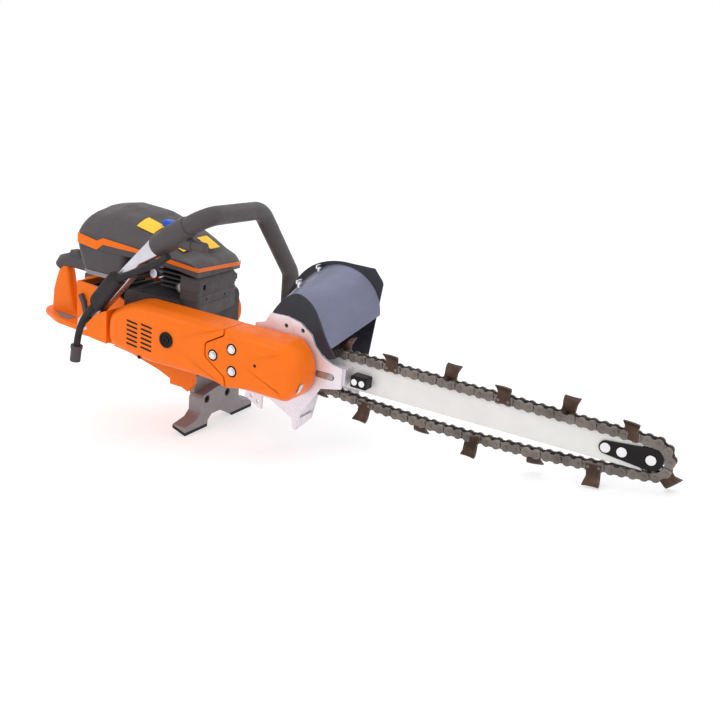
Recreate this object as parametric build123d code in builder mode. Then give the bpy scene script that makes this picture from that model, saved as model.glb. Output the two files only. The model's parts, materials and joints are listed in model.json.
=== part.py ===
"""Handheld chain trencher: a two-stroke power cutter carrying a roller-chain digging bar.

Everything is modelled in the machine's own axes, in millimetres: the origin is on the spindle axis,
X runs forward along the bar, Y points to the operator's left and Z is up.  Each finished piece is then
tilted into the machine's resting pose, where the foot's front edge and the nose tooth touch the floor.
"""
import os
from math import asin, atan2, cos, degrees, pi, radians, sin, tan

from build123d import *

os.makedirs("parts", exist_ok=True)

# ---------------------------------------------------------------- driving dimensions
fit = 0.05                  # radial clearance of a shaft in its bearing
gap = 0.3                   # clearance between curved faces that do not touch
wall = 2.5                  # plastic and sheet shells

pitch = 12.7                # half-inch roller chain
roller_radius = 3.96
pin_radius = 1.98
inner_width = 7.85
plate_thickness = 1.5
plate_height = 11.8
link_count = 86
drive_teeth = 12
nose_teeth = 10
hang_angle = 7.2            # slope of the slack run where it leaves a sprocket
tooth_spacing = 6           # pitches from one cutter to the next
first_tooth = 4             # link that carries the first cutter
tooth_count = link_count // tooth_spacing
tooth_rise = 21.0
tooth_flare = 17.5
tooth_length = 20.0
tooth_thickness = 3.5

bar_y = -58.0
bar_thickness = 6.35
bar_tail_x = 42.0
clamp_half_height = 11.0

cover_face_y = -133.0
cover_rim_y = -89.0
cover_top_z = 41.0
cover_bottom_z = -39.0
cover_end_radius = 46.0
arm_far_y = -84.0
bracket_thickness = 4.0

crank_x = -226.0
crank_pulley_radius = 30.0
spindle_pulley_radius = 26.0
belt_thickness = 4.0
belt_y = (-118.0, -106.0)
spindle_radius = 8.5
crank_radius = 10.0
bearing_width = 11.0
spindle_bearing_radius = 20.0
crank_bearing_radius = 21.0

case_y = (-84.0, 55.0)
case_x = (-290.0, -186.0)
case_z = (-48.0, 42.0)
web_radius = 33.0
crank_throw = 24.0
rod_length = 48.0
bore_radius = 28.0

tube_radius = 13.0
hose_radius = 5.0
hose_y = -128.5
strut_y = (-122.0, -106.0)

foot_front_x = -170.0
foot_bottom_z = -158.0
foot_half_width = 82.0
foot_pad_width = 52.0
foot_depth = 24.0
foot_rake = 17.0            # slope of the pads' soles against the bar

centre_shift = (20.6, 2.87)   # brings the resting machine's box over the origin

# ---------------------------------------------------------------- small shared helpers


def side(y):
    """A plane seen from the belt side: local x is forward and local y is up."""
    return Plane(origin=(0, y, 0), x_dir=(1, 0, 0), z_dir=(0, -1, 0))


def front(x):
    """A plane seen from ahead: local x is +Y and local y is up."""
    return Plane.YZ.offset(x)


def deck(z):
    """A level plane: local x is forward and local y is +Y."""
    return Plane.XY.offset(z)


def prism(plane, points, amount, mode=Mode.ADD):
    """Extrude a closed outline from a plane."""
    with BuildSketch(plane) as outline:
        with BuildLine():
            Polyline(*points, close=True)
        make_face()
    extrude(outline.sketch, amount=amount, mode=mode)


def slab(points, near, far, mode=Mode.ADD):
    """Extrude a side outline between two widths."""
    prism(side(far), points, far - near, mode)


def disc(x, z, radius, near, far, mode=Mode.ADD):
    """A round bar or hole across the machine."""
    with BuildSketch(side(far)) as circle:
        with Locations((x, z)):
            Circle(radius)
    extrude(circle.sketch, amount=far - near, mode=mode)


def block(xs, ys, zs, mode=Mode.ADD):
    """A box given by its limits along each axis."""
    with Locations(((xs[0] + xs[1]) / 2, (ys[0] + ys[1]) / 2, (zs[0] + zs[1]) / 2)):
        Box(xs[1] - xs[0], ys[1] - ys[0], zs[1] - zs[0], mode=mode)


def rod(start, end, radius, mode=Mode.ADD):
    """A round bar between two points."""
    axis = Vector(*end) - Vector(*start)
    with BuildSketch(Plane(origin=start, z_dir=axis.normalized())) as section:
        Circle(radius)
    extrude(section.sketch, amount=axis.length, mode=mode)


def bend_radii(points):
    """Arc radii for a free run of hose: as large as its two straight runs allow."""
    radii = []
    for before, corner, after in zip(points, points[1:], points[2:]):
        first = Vector(*corner) - Vector(*before)
        second = Vector(*after) - Vector(*corner)
        half_turn = radians(first.get_angle(second)) / 2
        radii.append(0.45 * min(first.length, second.length) / tan(half_turn))
    return radii


def pipe(points, radii, radius):
    """A round section swept along straight runs joined by tangent arcs."""
    with BuildPart() as swept:
        with BuildLine() as path:
            FilletPolyline(*[Vector(*point) for point in points], radius=radii)
        with BuildSketch(Plane(origin=path.line @ 0, z_dir=path.line % 0)):
            Circle(radius)
        sweep(path=path.line)
    return swept.part


# ---------------------------------------------------------------- chain route
drive_radius = pitch / (2 * sin(pi / drive_teeth))
nose_radius = pitch / (2 * sin(pi / nose_teeth))


def on_circle(centre_x, radius, angle):
    return centre_x + radius * sin(angle), radius * cos(angle)


def route_point(reach, place):
    """A point of the chain's pitch line; place runs from 0 to 4 once round the loop."""
    tilt = asin((drive_radius - nose_radius) / reach)
    slack = radians(hang_angle)
    leave_nose = pi - slack
    meet_drive = pi + slack
    stage, share = int(place), place - int(place)
    if stage == 0:
        start = on_circle(0, drive_radius, tilt)
        end = on_circle(reach, nose_radius, tilt)
        return start[0] + share * (end[0] - start[0]), start[1] + share * (end[1] - start[1])
    if stage == 1:
        return on_circle(reach, nose_radius, tilt + share * (leave_nose - tilt))
    if stage == 3:
        return on_circle(0, drive_radius, meet_drive + share * (2 * pi + tilt - meet_drive))
    start = on_circle(reach, nose_radius, leave_nose)
    end = on_circle(0, drive_radius, meet_drive)
    drop = (start[0] - end[0] + (start[1] - end[1]) / tan(slack)) / 2
    low = (start[0] - drop, start[1] - drop * tan(slack))
    weights = ((1 - share) ** 2, 2 * share * (1 - share), share**2)
    return tuple(
        weights[0] * start[i] + weights[1] * low[i] + weights[2] * end[i] for i in (0, 1)
    )


def lay_chain(reach):
    """Places of the pins, each one pitch from the last, from the first pin round to the closing pin."""
    places = [0.02]
    for _ in range(link_count):
        here = route_point(reach, places[-1] % 4)
        low, high = places[-1], places[-1] + 0.9
        for _ in range(40):
            middle = (low + high) / 2
            there = route_point(reach, middle % 4)
            far = (there[0] - here[0]) ** 2 + (there[1] - here[1]) ** 2 > pitch**2
            low, high = (low, middle) if far else (middle, high)
        places.append(low)
    return places


# The tensioner sets the nose where the last pin meets the first.
short_reach = (link_count - drive_teeth) * pitch / 2 - 2 * pitch
long_reach = (link_count - nose_teeth) * pitch / 2 + pitch
for _ in range(40):
    nose_x = (short_reach + long_reach) / 2
    if lay_chain(nose_x)[-1] > 4.02:
        short_reach = nose_x
    else:
        long_reach = nose_x
pins = [route_point(nose_x, place % 4) for place in lay_chain(nose_x)]

link_spots = []
for (x0, z0), (x1, z1) in zip(pins, pins[1:]):
    heading = degrees(atan2(z0 - z1, x1 - x0))
    link_spots.append(Location(((x0 + x1) / 2, bar_y, (z0 + z1) / 2), (0, heading, 0)))
tooth_spots = [link_spots[first_tooth + tooth_spacing * i] for i in range(tooth_count)]

# ---------------------------------------------------------------- resting pose
tooth_tips = [
    (spot * Pos(end * tooth_length / 2, 0, tooth_rise)).position
    for spot in tooth_spots
    for end in (-1, 1)
]
stance_pitch = min(
    atan2(tip.Z - foot_bottom_z, tip.X - foot_front_x) for tip in tooth_tips if tip.X > 0
)
sole_drop = foot_bottom_z * cos(stance_pitch) - foot_front_x * sin(stance_pitch)
STANCE = Location((centre_shift[0], centre_shift[1], -sole_drop), (0, degrees(stance_pitch), 0))


def finish(piece, label):
    """Tilt a finished piece into the resting pose and write it."""
    standing = piece.moved(STANCE)
    standing.label = label
    export_step(standing, f"parts/{label}.step")


# ================================================================ digging bar
edge_lift = roller_radius + fit


def bar_edge(x):
    """Height of the bar's upper rail, which carries the rollers."""
    slope = (nose_radius - drive_radius) / nose_x
    return drive_radius + slope * x - edge_lift


nose_recess = nose_radius - roller_radius + 2 * gap
bar_near_y = bar_y - bar_thickness / 2
bar_far_y = bar_y + bar_thickness / 2
shank_radius = 5.0
nose_screw_x = (nose_x - 52.0, nose_x - 33.0)
clamp_bolt_x = (54.0, 76.0)
clamp_bolt_radius = 4.0

with BuildPart() as guide_bar:
    slab(
        [
            (bar_tail_x, -bar_edge(bar_tail_x)),
            (nose_x - 8, -bar_edge(nose_x - 8)),
            (nose_x - 8, bar_edge(nose_x - 8)),
            (bar_tail_x, bar_edge(bar_tail_x)),
        ],
        bar_near_y,
        bar_far_y,
    )
    disc(nose_x, 0, nose_recess, bar_near_y, bar_far_y, Mode.SUBTRACT)
    for x in nose_screw_x:
        disc(x, 0, 3.0 + fit, bar_near_y, bar_far_y, Mode.SUBTRACT)
    with BuildSketch(side(bar_far_y)) as tension_slot:
        with Locations((sum(clamp_bolt_x) / 2, 0)):
            SlotCenterToCenter(clamp_bolt_x[1] - clamp_bolt_x[0] + 8, 2 * clamp_bolt_radius + 2 * gap)
    extrude(tension_slot.sketch, amount=bar_thickness, mode=Mode.SUBTRACT)
finish(guide_bar.part, "guide_bar")

nose_plate_thickness = 2.6
nose_plate_radius = 13.4
with BuildPart() as nose_plates:
    for near in (bar_near_y - fit - nose_plate_thickness, bar_far_y + fit):
        with BuildSketch(side(near + nose_plate_thickness)) as plate:
            with Locations((nose_x, 0)):
                Circle(nose_plate_radius)
            with Locations((nose_screw_x[0], 0)):
                Circle(8.0)
            make_hull()
            with Locations((nose_x, 0)):
                Circle(shank_radius + fit, mode=Mode.SUBTRACT)
            with Locations(*[(x, 0) for x in nose_screw_x]):
                Circle(3.0 + fit, mode=Mode.SUBTRACT)
        extrude(plate.sketch, amount=nose_plate_thickness)
finish(nose_plates.part, "nose_plates")

plate_near_y = bar_near_y - fit - nose_plate_thickness
plate_far_y = bar_far_y + fit + nose_plate_thickness


def sprocket_outline(teeth, outer, root, bore):
    """A toothed wheel: rounded gaps between straight teeth."""
    with BuildSketch() as wheel:
        Circle(outer)
        with PolarLocations((outer + root) / 2 + 1.2, teeth, start_angle=180 / teeth):
            Circle((outer - root) / 2 + 0.6, mode=Mode.SUBTRACT)
        Circle(bore, mode=Mode.SUBTRACT)
    return wheel.sketch


nose_wheel_radius = nose_radius - roller_radius - gap
with BuildPart() as nose_sprocket:
    wheel = sprocket_outline(nose_teeth, nose_wheel_radius, nose_wheel_radius - 4, shank_radius + fit)
    extrude(wheel, amount=3.0, both=True)
finish(
    nose_sprocket.part.moved(Location((nose_x, bar_y, 0), (90, 0, 0))),
    "nose_sprocket",
)

with BuildPart() as drive_sprocket:
    wheel = sprocket_outline(
        drive_teeth, drive_radius - roller_radius - gap, drive_radius - roller_radius - 5, spindle_radius
    )
    extrude(wheel, amount=3.4, both=True)
    with BuildSketch(Plane.XY.offset(3.4)) as hub:
        Circle(13)
        Circle(spindle_radius, mode=Mode.SUBTRACT)
    extrude(hub.sketch, amount=8)
finish(drive_sprocket.part.moved(Location((0, bar_y, 0), (90, 0, 0))), "drive_sprocket")

# ---------------------------------------------------------------- chain
inner_plate_y = inner_width / 2
outer_plate_y = inner_plate_y + plate_thickness + 0.15
pin_end_y = outer_plate_y + plate_thickness + 1.0


def link_plate(y):
    """One waisted side plate, extruded away from the chain's middle."""
    with BuildSketch(side(y)) as plate:
        with Locations((-pitch / 2, 0), (pitch / 2, 0)):
            Circle(plate_height / 2)
        Rectangle(pitch, 0.72 * plate_height)
    extrude(plate.sketch, amount=plate_thickness)


with BuildPart() as inner_link:
    link_plate(inner_plate_y + plate_thickness)
    link_plate(-inner_plate_y)
    for x in (-pitch / 2, pitch / 2):
        disc(x, 0, roller_radius, -inner_plate_y + 0.15, inner_plate_y - 0.15)
        disc(x, 0, 2.7, -inner_plate_y, inner_plate_y)
        disc(x, 0, pin_radius + fit, -outer_plate_y, outer_plate_y, Mode.SUBTRACT)

with BuildPart() as outer_link:
    link_plate(outer_plate_y + plate_thickness)
    link_plate(-outer_plate_y)
    for x in (-pitch / 2, pitch / 2):
        disc(x, 0, pin_radius, -pin_end_y, pin_end_y)

chain_inner_links = Compound([inner_link.part.moved(spot) for spot in link_spots[1::2]])
finish(chain_inner_links, "chain_inner_links")
chain_outer_links = Compound([outer_link.part.moved(spot) for spot in link_spots[0::2]])
finish(chain_outer_links, "chain_outer_links")

# Each cutter is a plate riveted outside an outer link and bent away from the chain.
tooth_root_y = outer_plate_y + plate_thickness + 0.1
with BuildPart() as cutter:
    with BuildSketch(Plane.YZ.offset(-tooth_length / 2)) as bent_plate:
        with BuildLine():
            Polyline(
                (tooth_root_y, -4),
                (tooth_root_y, 7),
                (tooth_flare - 5, tooth_rise - 1.5),
                (tooth_flare - 2, tooth_rise),
                (tooth_flare, tooth_rise - 3),
                (tooth_root_y + tooth_thickness, 5.5),
                (tooth_root_y + tooth_thickness, -4),
                close=True,
            )
        make_face()
    extrude(bent_plate.sketch, amount=tooth_length)
    for x in (-pitch / 2, pitch / 2):
        disc(x, 0, pin_radius + gap, tooth_root_y - 1, tooth_root_y + tooth_thickness + 1, Mode.SUBTRACT)

left_cutter = cutter.part
right_cutter = cutter.part.mirror(Plane.XZ)
cutting_teeth = Compound(
    [(right_cutter if i % 2 else left_cutter).moved(spot) for i, spot in enumerate(tooth_spots)]
)
finish(cutting_teeth, "cutting_teeth")

# ---------------------------------------------------------------- bracket, clamp and tensioner
bracket_near_y = arm_far_y
bracket_far_y = arm_far_y + bracket_thickness
plate_bolt_spots = ((-7, 50), (19, 49))

with BuildPart() as bracket_plate:
    slab(
        [
            (-33, 62),
            (-6, 63),
            (14, 59),
            (33, 46),
            (39, 33),
            (52, 21),
            (68, 14),
            (83, 12),
            (83, -16),
            (52, -23),
            (25, -65),
            (19, -91),
            (15, -91),
            (12, -76),
            (-23, -59),
            (-38, -57),
            (-38, -77),
            (-49, -73),
            (-67, -64),
            (-64, -52),
            (-56, -40),
            (-60, -20),
            (-56, 44),
            (-41, 48),
        ],
        bracket_near_y,
        bracket_far_y,
    )
    disc(0, 0, 15.0, bracket_near_y, bracket_far_y, Mode.SUBTRACT)
    for x, z in plate_bolt_spots:
        disc(x, z, 3.0, bracket_near_y, bracket_far_y, Mode.SUBTRACT)
    for x, z in ((-55, -61), (-45, -67)):
        disc(x, z, 2.6, bracket_near_y, bracket_far_y, Mode.SUBTRACT)
    with BuildSketch(side(bracket_far_y)) as adjuster_slot:
        with Locations((57, -3)):
            SlotOverall(30, 9)
    extrude(adjuster_slot.sketch, amount=bracket_thickness, mode=Mode.SUBTRACT)
finish(bracket_plate.part, "bracket_plate")

with BuildPart() as bar_clamp:
    block((44, 86), (bracket_far_y, bar_near_y - fit), (-clamp_half_height, clamp_half_height))
    block((44, 86), (bar_far_y + fit, bar_far_y + 5), (-clamp_half_height, clamp_half_height))
    for x in clamp_bolt_x:
        disc(x, 0, clamp_bolt_radius + fit, bracket_far_y, bar_far_y + 5, Mode.SUBTRACT)
finish(bar_clamp.part, "bar_clamp")


tension_x = (92.0, 116.0)
tension_y = (-76.0, bar_near_y - fit)
tension_z = (-11.0, 5.0)
tension_screw_x = (98.5, 109.5)
with BuildPart() as tension_block:
    block(tension_x, tension_y, tension_z)
    chamfer(tension_block.edges().filter_by(Axis.Y), 1.2)
    for x in tension_screw_x:
        disc(x, -3, 2.5 + fit, tension_y[0], tension_y[1], Mode.SUBTRACT)
finish(tension_block.part, "tension_block")

with BuildPart() as bar_screws:
    for x, shank in ((nose_x, shank_radius), (nose_screw_x[0], 3.0), (nose_screw_x[1], 3.0)):
        disc(x, 0, shank, plate_near_y - 0.5, plate_far_y + 0.5)
        disc(x, 0, 6.0, plate_near_y - fit - 1.6, plate_near_y - fit)
        disc(x, 0, 6.0, plate_far_y + fit, plate_far_y + fit + 1.6)
    for x in clamp_bolt_x:
        disc(x, 0, clamp_bolt_radius, bracket_far_y + 1, bar_far_y + 9)
        with BuildSketch(side(bar_far_y + 11)) as nut:
            with Locations((x, 0)):
                RegularPolygon(7, 6)
        extrude(nut.sketch, amount=11 - 5.05)
    for x in tension_screw_x:
        disc(x, -3, 2.5, tension_y[0] - 1, tension_y[1] - 1)
        disc(x, -3, 4.3, tension_y[0] - 2.2, tension_y[0] - fit)
finish(bar_screws.part, "bar_screws")

skid_y = (-38.0, -35.0)
with BuildPart() as skid_bracket:
    slab(
        [
            (-53, -66),
            (-53, -80),
            (-15, -97),
            (-12, -114),
            (-8, -114),
            (15, -89),
            (25, -46),
            (50, -40),
            (86, -38),
            (86, 12),
            (44, 12),
            (44, -20),
            (10, -46),
            (-10, -60),
        ],
        *skid_y,
    )
    slab([(10, -84), (15.5, -84), (15.5, -80), (10, -80)], bracket_far_y + gap, skid_y[0])
finish(skid_bracket.part, "skid_bracket")

# ---------------------------------------------------------------- chain shield
shield_near_y = -78.0
shield_far_y = 2.0
near_arch = [(-34, 60), (-20, 80), (4, 95), (26, 86), (42, 64), (61, 33)]
far_arch = [(-66, 48), (-34, 96), (14, 124), (56, 116), (78, 94), (85, 68)]


def inner_line(arch, depth):
    """The arch's points moved inwards by the sheet's thickness."""
    moved = []
    for i, (x, z) in enumerate(arch):
        x0, z0 = arch[max(i - 1, 0)]
        x1, z1 = arch[min(i + 1, len(arch) - 1)]
        run = ((x1 - x0) ** 2 + (z1 - z0) ** 2) ** 0.5
        moved.append((x + depth * (z1 - z0) / run, z - depth * (x1 - x0) / run))
    return moved


sheet_thickness = 1.8
shield_bolt_spots = ((-12, -50, 93.2), (-10, -6, 107.7))
with BuildPart() as chain_shield:
    for y, arch in ((shield_near_y, near_arch), (shield_far_y, far_arch)):
        under = inner_line(arch, sheet_thickness)
        with BuildSketch(side(y)):
            with BuildLine():
                Spline(*arch)
                Line(arch[-1], under[-1])
                Spline(*under[::-1])
                Line(under[0], arch[0])
            make_face()
    loft(ruled=True)
    for x, y, z in shield_bolt_spots:
        rod((x, y, z - 12), (x - 2, y, z + 12), 2.8, Mode.SUBTRACT)
finish(chain_shield.part, "chain_shield")

shield_plate = 2.0
with BuildPart() as shield_end_plates:
    with BuildSketch(side(shield_near_y)) as near_plate:
        with BuildLine():
            Spline(*near_arch)
            Polyline(near_arch[-1], (70, 22), (60, 18), (30, 30), (-30, 44), (-40, 48), near_arch[0])
        make_face()
        Circle(32, mode=Mode.SUBTRACT)
    extrude(near_plate.sketch, amount=shield_near_y - bracket_far_y)
    with BuildSketch(side(shield_far_y + shield_plate)) as far_plate:
        with BuildLine():
            Spline((-76, 30), (-66, 62), (-50, 92), (-28, 114), (0, 126), (33, 129))
            Polyline((33, 129), (70, 129), (85, 112), (73, 4), (20, 4), (-40, 14), (-76, 30))
        make_face()
        fillet(far_plate.vertices().group_by(Axis.Z)[-1].sort_by(Axis.X)[-1], 9)
    extrude(far_plate.sketch, amount=shield_plate)
finish(shield_end_plates.part, "shield_end_plates")

with BuildPart() as shield_bolts:
    for x, y, z in shield_bolt_spots:
        rod((x, y, z - 6), (x - 2, y, z + 9), 2.5)
        rod((x - 1.6, y, z + 6.2), (x - 2, y, z + 9), 4.0)
        block((x - 3.0, x - 1.0), (y - 6, y + 6), (z + 7.5, z + 12))
finish(shield_bolts.part, "shield_bolts")

# ================================================================ belt drive
def bearing(x, radius, bore, near):
    """One closed ball bearing: outer ring, balls' shield and inner ring as one body."""
    disc(x, 0, radius, near, near + bearing_width)
    disc(x, 0, bore + fit, near - 1, near + bearing_width + 1, Mode.SUBTRACT)


spindle_bearing_near = cover_rim_y - 8
with BuildPart() as cutting_arm:
    with BuildSketch(side(arm_far_y)) as arm_plate:
        Circle(cover_end_radius - 6)
        with Locations((crank_x, 0)):
            Circle(36)
        make_hull()
    extrude(arm_plate.sketch, amount=arm_far_y - cover_rim_y)
    disc(0, 0, spindle_bearing_radius + 5, spindle_bearing_near - 2, arm_far_y)
    disc(0, 0, spindle_bearing_radius, spindle_bearing_near, spindle_bearing_near + bearing_width,
         Mode.SUBTRACT)
    disc(0, 0, spindle_radius + 4, -130, arm_far_y + 1, Mode.SUBTRACT)
    disc(crank_x, 0, crank_radius + 3, cover_rim_y - 1, arm_far_y + 1, Mode.SUBTRACT)
finish(cutting_arm.part, "cutting_arm")

with BuildPart() as spindle:
    disc(0, 0, spindle_radius, belt_y[0] - 4, bar_y + 8)
    disc(0, 0, 16.0, bracket_far_y + 5.5, bar_y - 11.6)
finish(spindle.part, "spindle")


def pulley(x, radius, bore):
    """A flanged belt wheel."""
    disc(x, 0, radius, belt_y[0], belt_y[1])
    disc(x, 0, radius + 2.2, belt_y[0] - 1.6, belt_y[0])
    disc(x, 0, radius + 2.2, belt_y[1], belt_y[1] + 1.6)
    disc(x, 0, bore, belt_y[0] - 2, belt_y[1] + 2, Mode.SUBTRACT)


with BuildPart() as spindle_pulley:
    pulley(0, spindle_pulley_radius, spindle_radius)
finish(spindle_pulley.part, "spindle_pulley")

with BuildPart() as clutch_pulley:
    pulley(crank_x, crank_pulley_radius, crank_radius)
    disc(crank_x, 0, 33, belt_y[1] + 1.6, cover_rim_y - 1.5)
    disc(crank_x, 0, 30.5, belt_y[1] + 4, cover_rim_y - 1, Mode.SUBTRACT)
    disc(crank_x, 0, 24, belt_y[1] + 1.6, cover_rim_y - 3)
    disc(crank_x, 0, crank_radius, belt_y[0] - 2, cover_rim_y, Mode.SUBTRACT)
finish(clutch_pulley.part, "clutch_pulley")

with BuildPart() as drive_belt:
    for thickness, mode in ((gap + belt_thickness, Mode.ADD), (gap, Mode.SUBTRACT)):
        with BuildSketch(side(belt_y[1] - gap)) as loop:
            Circle(spindle_pulley_radius + thickness)
            with Locations((crank_x, 0)):
                Circle(crank_pulley_radius + thickness)
            make_hull()
        extrude(loop.sketch, amount=belt_y[1] - belt_y[0] - 2 * gap, mode=mode)
finish(drive_belt.part, "drive_belt")

with BuildPart() as bearings:
    bearing(0, spindle_bearing_radius, spindle_radius, spindle_bearing_near)
    bearing(crank_x, crank_bearing_radius, crank_radius, -50)
    bearing(crank_x, crank_bearing_radius, crank_radius, 39)
finish(bearings.part, "bearings")

# ---------------------------------------------------------------- belt covers
seam_gap = 1.2
rear_seam = [(-65, cover_bottom_z), (-68, -25), (-101, -4), (-101, 15), (-71, 32), (-71, cover_top_z)]
rear_outline = [(-279, -31), (-258, -37), (-209, -41), (-150, cover_bottom_z)] + rear_seam + [
    (-237, cover_top_z),
    (-279, 18),
]
cap_spot = (-167.0, 3.0)
nut_spots = ((-87, 1), (-57, 16), (-55, -14))
belt_passage_x = (-108.0, -60.0)
belt_passage_y = (belt_y[0] - 3, cover_rim_y + 1)
belt_passage_z = (cover_bottom_z + wall, cover_top_z - wall)


def cover_shell(outline, wall_depth):
    """An open-backed cover: a face with turned edges."""
    with BuildSketch(side(cover_rim_y)) as rim:
        with BuildLine():
            Polyline(*outline, close=True)
        make_face()
        fillet(rim.vertices(), 1.5)
    extrude(rim.sketch, amount=cover_rim_y - cover_face_y)
    with BuildSketch(side(cover_rim_y)) as hollow:
        with BuildLine():
            Polyline(*outline, close=True)
        make_face()
        offset(amount=-wall_depth)
    extrude(hollow.sketch, amount=cover_rim_y - cover_face_y - wall_depth, mode=Mode.SUBTRACT)


with BuildPart() as belt_cover_rear:
    cover_shell(rear_outline, wall)
    fillet(
        belt_cover_rear.faces().sort_by(Axis.Y)[0].outer_wire().edges().filter_by(lambda e: e.length > 20),
        1.6,
    )
    for column_x in (-229.0, -203.0):
        with BuildSketch(side(cover_face_y + 2 * wall)) as vents:
            with Locations(*[(column_x, 14 - 6.6 * row) for row in range(6)]):
                SlotOverall(20, 2.6)
        extrude(vents.sketch, amount=3 * wall, mode=Mode.SUBTRACT)
    disc(cap_spot[0], cap_spot[1], 8 + fit, cover_face_y - 1, cover_face_y + 5, Mode.SUBTRACT)
    disc(-217, -36, 3.4, cover_face_y - 1, cover_face_y + 1.5, Mode.SUBTRACT)
    block(belt_passage_x, belt_passage_y, belt_passage_z, Mode.SUBTRACT)
finish(belt_cover_rear.part, "belt_cover_rear")

with BuildPart() as cover_cap:
    disc(cap_spot[0], cap_spot[1], 8, cover_face_y - 0.2, cover_face_y + 6)
    disc(cap_spot[0], cap_spot[1], 11, cover_face_y - 2.4, cover_face_y - 0.1)
    disc(cap_spot[0], cap_spot[1], 6.5, cover_face_y - 2.4, cover_face_y - 1.2, Mode.SUBTRACT)
    disc(cap_spot[0], cap_spot[1], 3.0, cover_face_y - 2.4, cover_face_y - 1.2)
finish(cover_cap.part, "cover_cap")

front_seam = [(x + seam_gap, z) for x, z in rear_seam]
with BuildPart() as belt_cover_front:
    for inset, mode in ((0, Mode.ADD), (wall, Mode.SUBTRACT)):
        with BuildSketch(side(cover_rim_y)) as shell:
            Circle(cover_end_radius)
            with BuildLine():
                Polyline(*front_seam, (0, cover_top_z), (0, cover_bottom_z), close=True)
            make_face()
            with Locations((0, cover_top_z + 20)):
                Rectangle(200, 40, mode=Mode.SUBTRACT)
            with Locations((0, cover_bottom_z - 20)):
                Rectangle(200, 40, mode=Mode.SUBTRACT)
            if inset:
                offset(amount=-inset, kind=Kind.INTERSECTION)
        extrude(shell.sketch, amount=cover_rim_y - cover_face_y - inset, mode=mode)
    for x, z in nut_spots:
        disc(x, z, 9.5, cover_face_y + 1, cover_face_y + 11)
        disc(x, z, 7.6, cover_face_y - 1, cover_face_y + 8, Mode.SUBTRACT)
        disc(x, z, 4.0 + gap, cover_face_y - 1, cover_face_y + 12, Mode.SUBTRACT)
    disc(-19, 3, 2.2, cover_face_y - 1, cover_face_y + 2 * wall, Mode.SUBTRACT)
    with BuildSketch(side(cover_face_y)) as raised_pad:
        Circle(30)
        with Locations((-34, 0)):
            Circle(24)
        make_hull()
    extrude(raised_pad.sketch, amount=0.8)
    disc(-19, 3, 2.2, cover_face_y - 1, cover_face_y + 2 * wall, Mode.SUBTRACT)
    block(belt_passage_x, belt_passage_y, belt_passage_z, Mode.SUBTRACT)
finish(belt_cover_front.part, "belt_cover_front")

with BuildPart() as cover_nuts:
    for x, z in nut_spots:
        disc(x, z, 4.0, cover_face_y + 1.5, cover_rim_y)
        with BuildSketch(side(cover_face_y + 8)) as hexagon:
            with Locations((x, z)):
                RegularPolygon(6.4, 6)
        extrude(hexagon.sketch, amount=6)
finish(cover_nuts.part, "cover_nuts")

# ================================================================ engine
crank_near_y = -50.0
crank_far_y = 50.0
with BuildPart() as crankcase:
    block(case_x, case_y, case_z)
    fillet(crankcase.edges().filter_by(Axis.Y), 12)
    disc(crank_x, 0, web_radius + 4, -30, 30, Mode.SUBTRACT)
    disc(crank_x, 0, crank_radius + 4, case_y[0] - 1, case_y[1] + 1, Mode.SUBTRACT)
    disc(crank_x, 0, crank_bearing_radius, crank_near_y, crank_near_y + bearing_width, Mode.SUBTRACT)
    disc(crank_x, 0, crank_bearing_radius, case_y[0] - 1, -62, Mode.SUBTRACT)
    disc(crank_x, 0, crank_bearing_radius, crank_far_y - bearing_width, case_y[1] + 1, Mode.SUBTRACT)
    block((crank_x - 20, crank_x + 20), (-30, 30), (0, case_z[1] + 1), Mode.SUBTRACT)
    block((case_x[0] + 5, crank_x - 42), (-76, 48), (case_z[0] + 5, case_z[1] - 5), Mode.SUBTRACT)
    block((crank_x - 36, crank_x + 36), (-79, -54), (case_z[0] + 5, -25), Mode.SUBTRACT)
    block((crank_x - 36, crank_x + 36), (-79, -66), (24, case_z[1] - 5), Mode.SUBTRACT)
finish(crankcase.part, "crankcase")

with BuildPart() as crankshaft:
    disc(crank_x, 0, crank_radius, belt_y[0] - 5, -12)
    disc(crank_x, 0, crank_radius, 12, 72)
    for near in (-26, 12):
        disc(crank_x, 0, web_radius, near, near + 14)
finish(crankshaft.part, "crankshaft")

pin_z = crank_throw + rod_length
with BuildPart() as piston_assembly:
    with BuildSketch(deck(pin_z - 11)) as skirt:
        with Locations((crank_x, 0)):
            Circle(bore_radius - fit)
    extrude(skirt.sketch, amount=24)
    with BuildSketch(deck(pin_z - 11)) as inside:
        with Locations((crank_x, 0)):
            Circle(bore_radius - 4)
    extrude(inside.sketch, amount=20, mode=Mode.SUBTRACT)
    for near in (-24.5, 14):
        disc(crank_x, pin_z, 8.0, near, near + 10.5)
    disc(crank_x, pin_z, 5.0 + fit, -40, 40, Mode.SUBTRACT)
    disc(crank_x, crank_throw, 6.0, -11.6, 11.6)
    disc(crank_x, crank_throw, 9.0, -6, 6)
    block((crank_x - 4, crank_x + 4), (-3, 3), (crank_throw, pin_z))
    disc(crank_x, pin_z, 8.0, -6, 6)
    disc(crank_x, pin_z, 5.0, -22, 22)
finish(piston_assembly.part, "piston_assembly")

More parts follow.
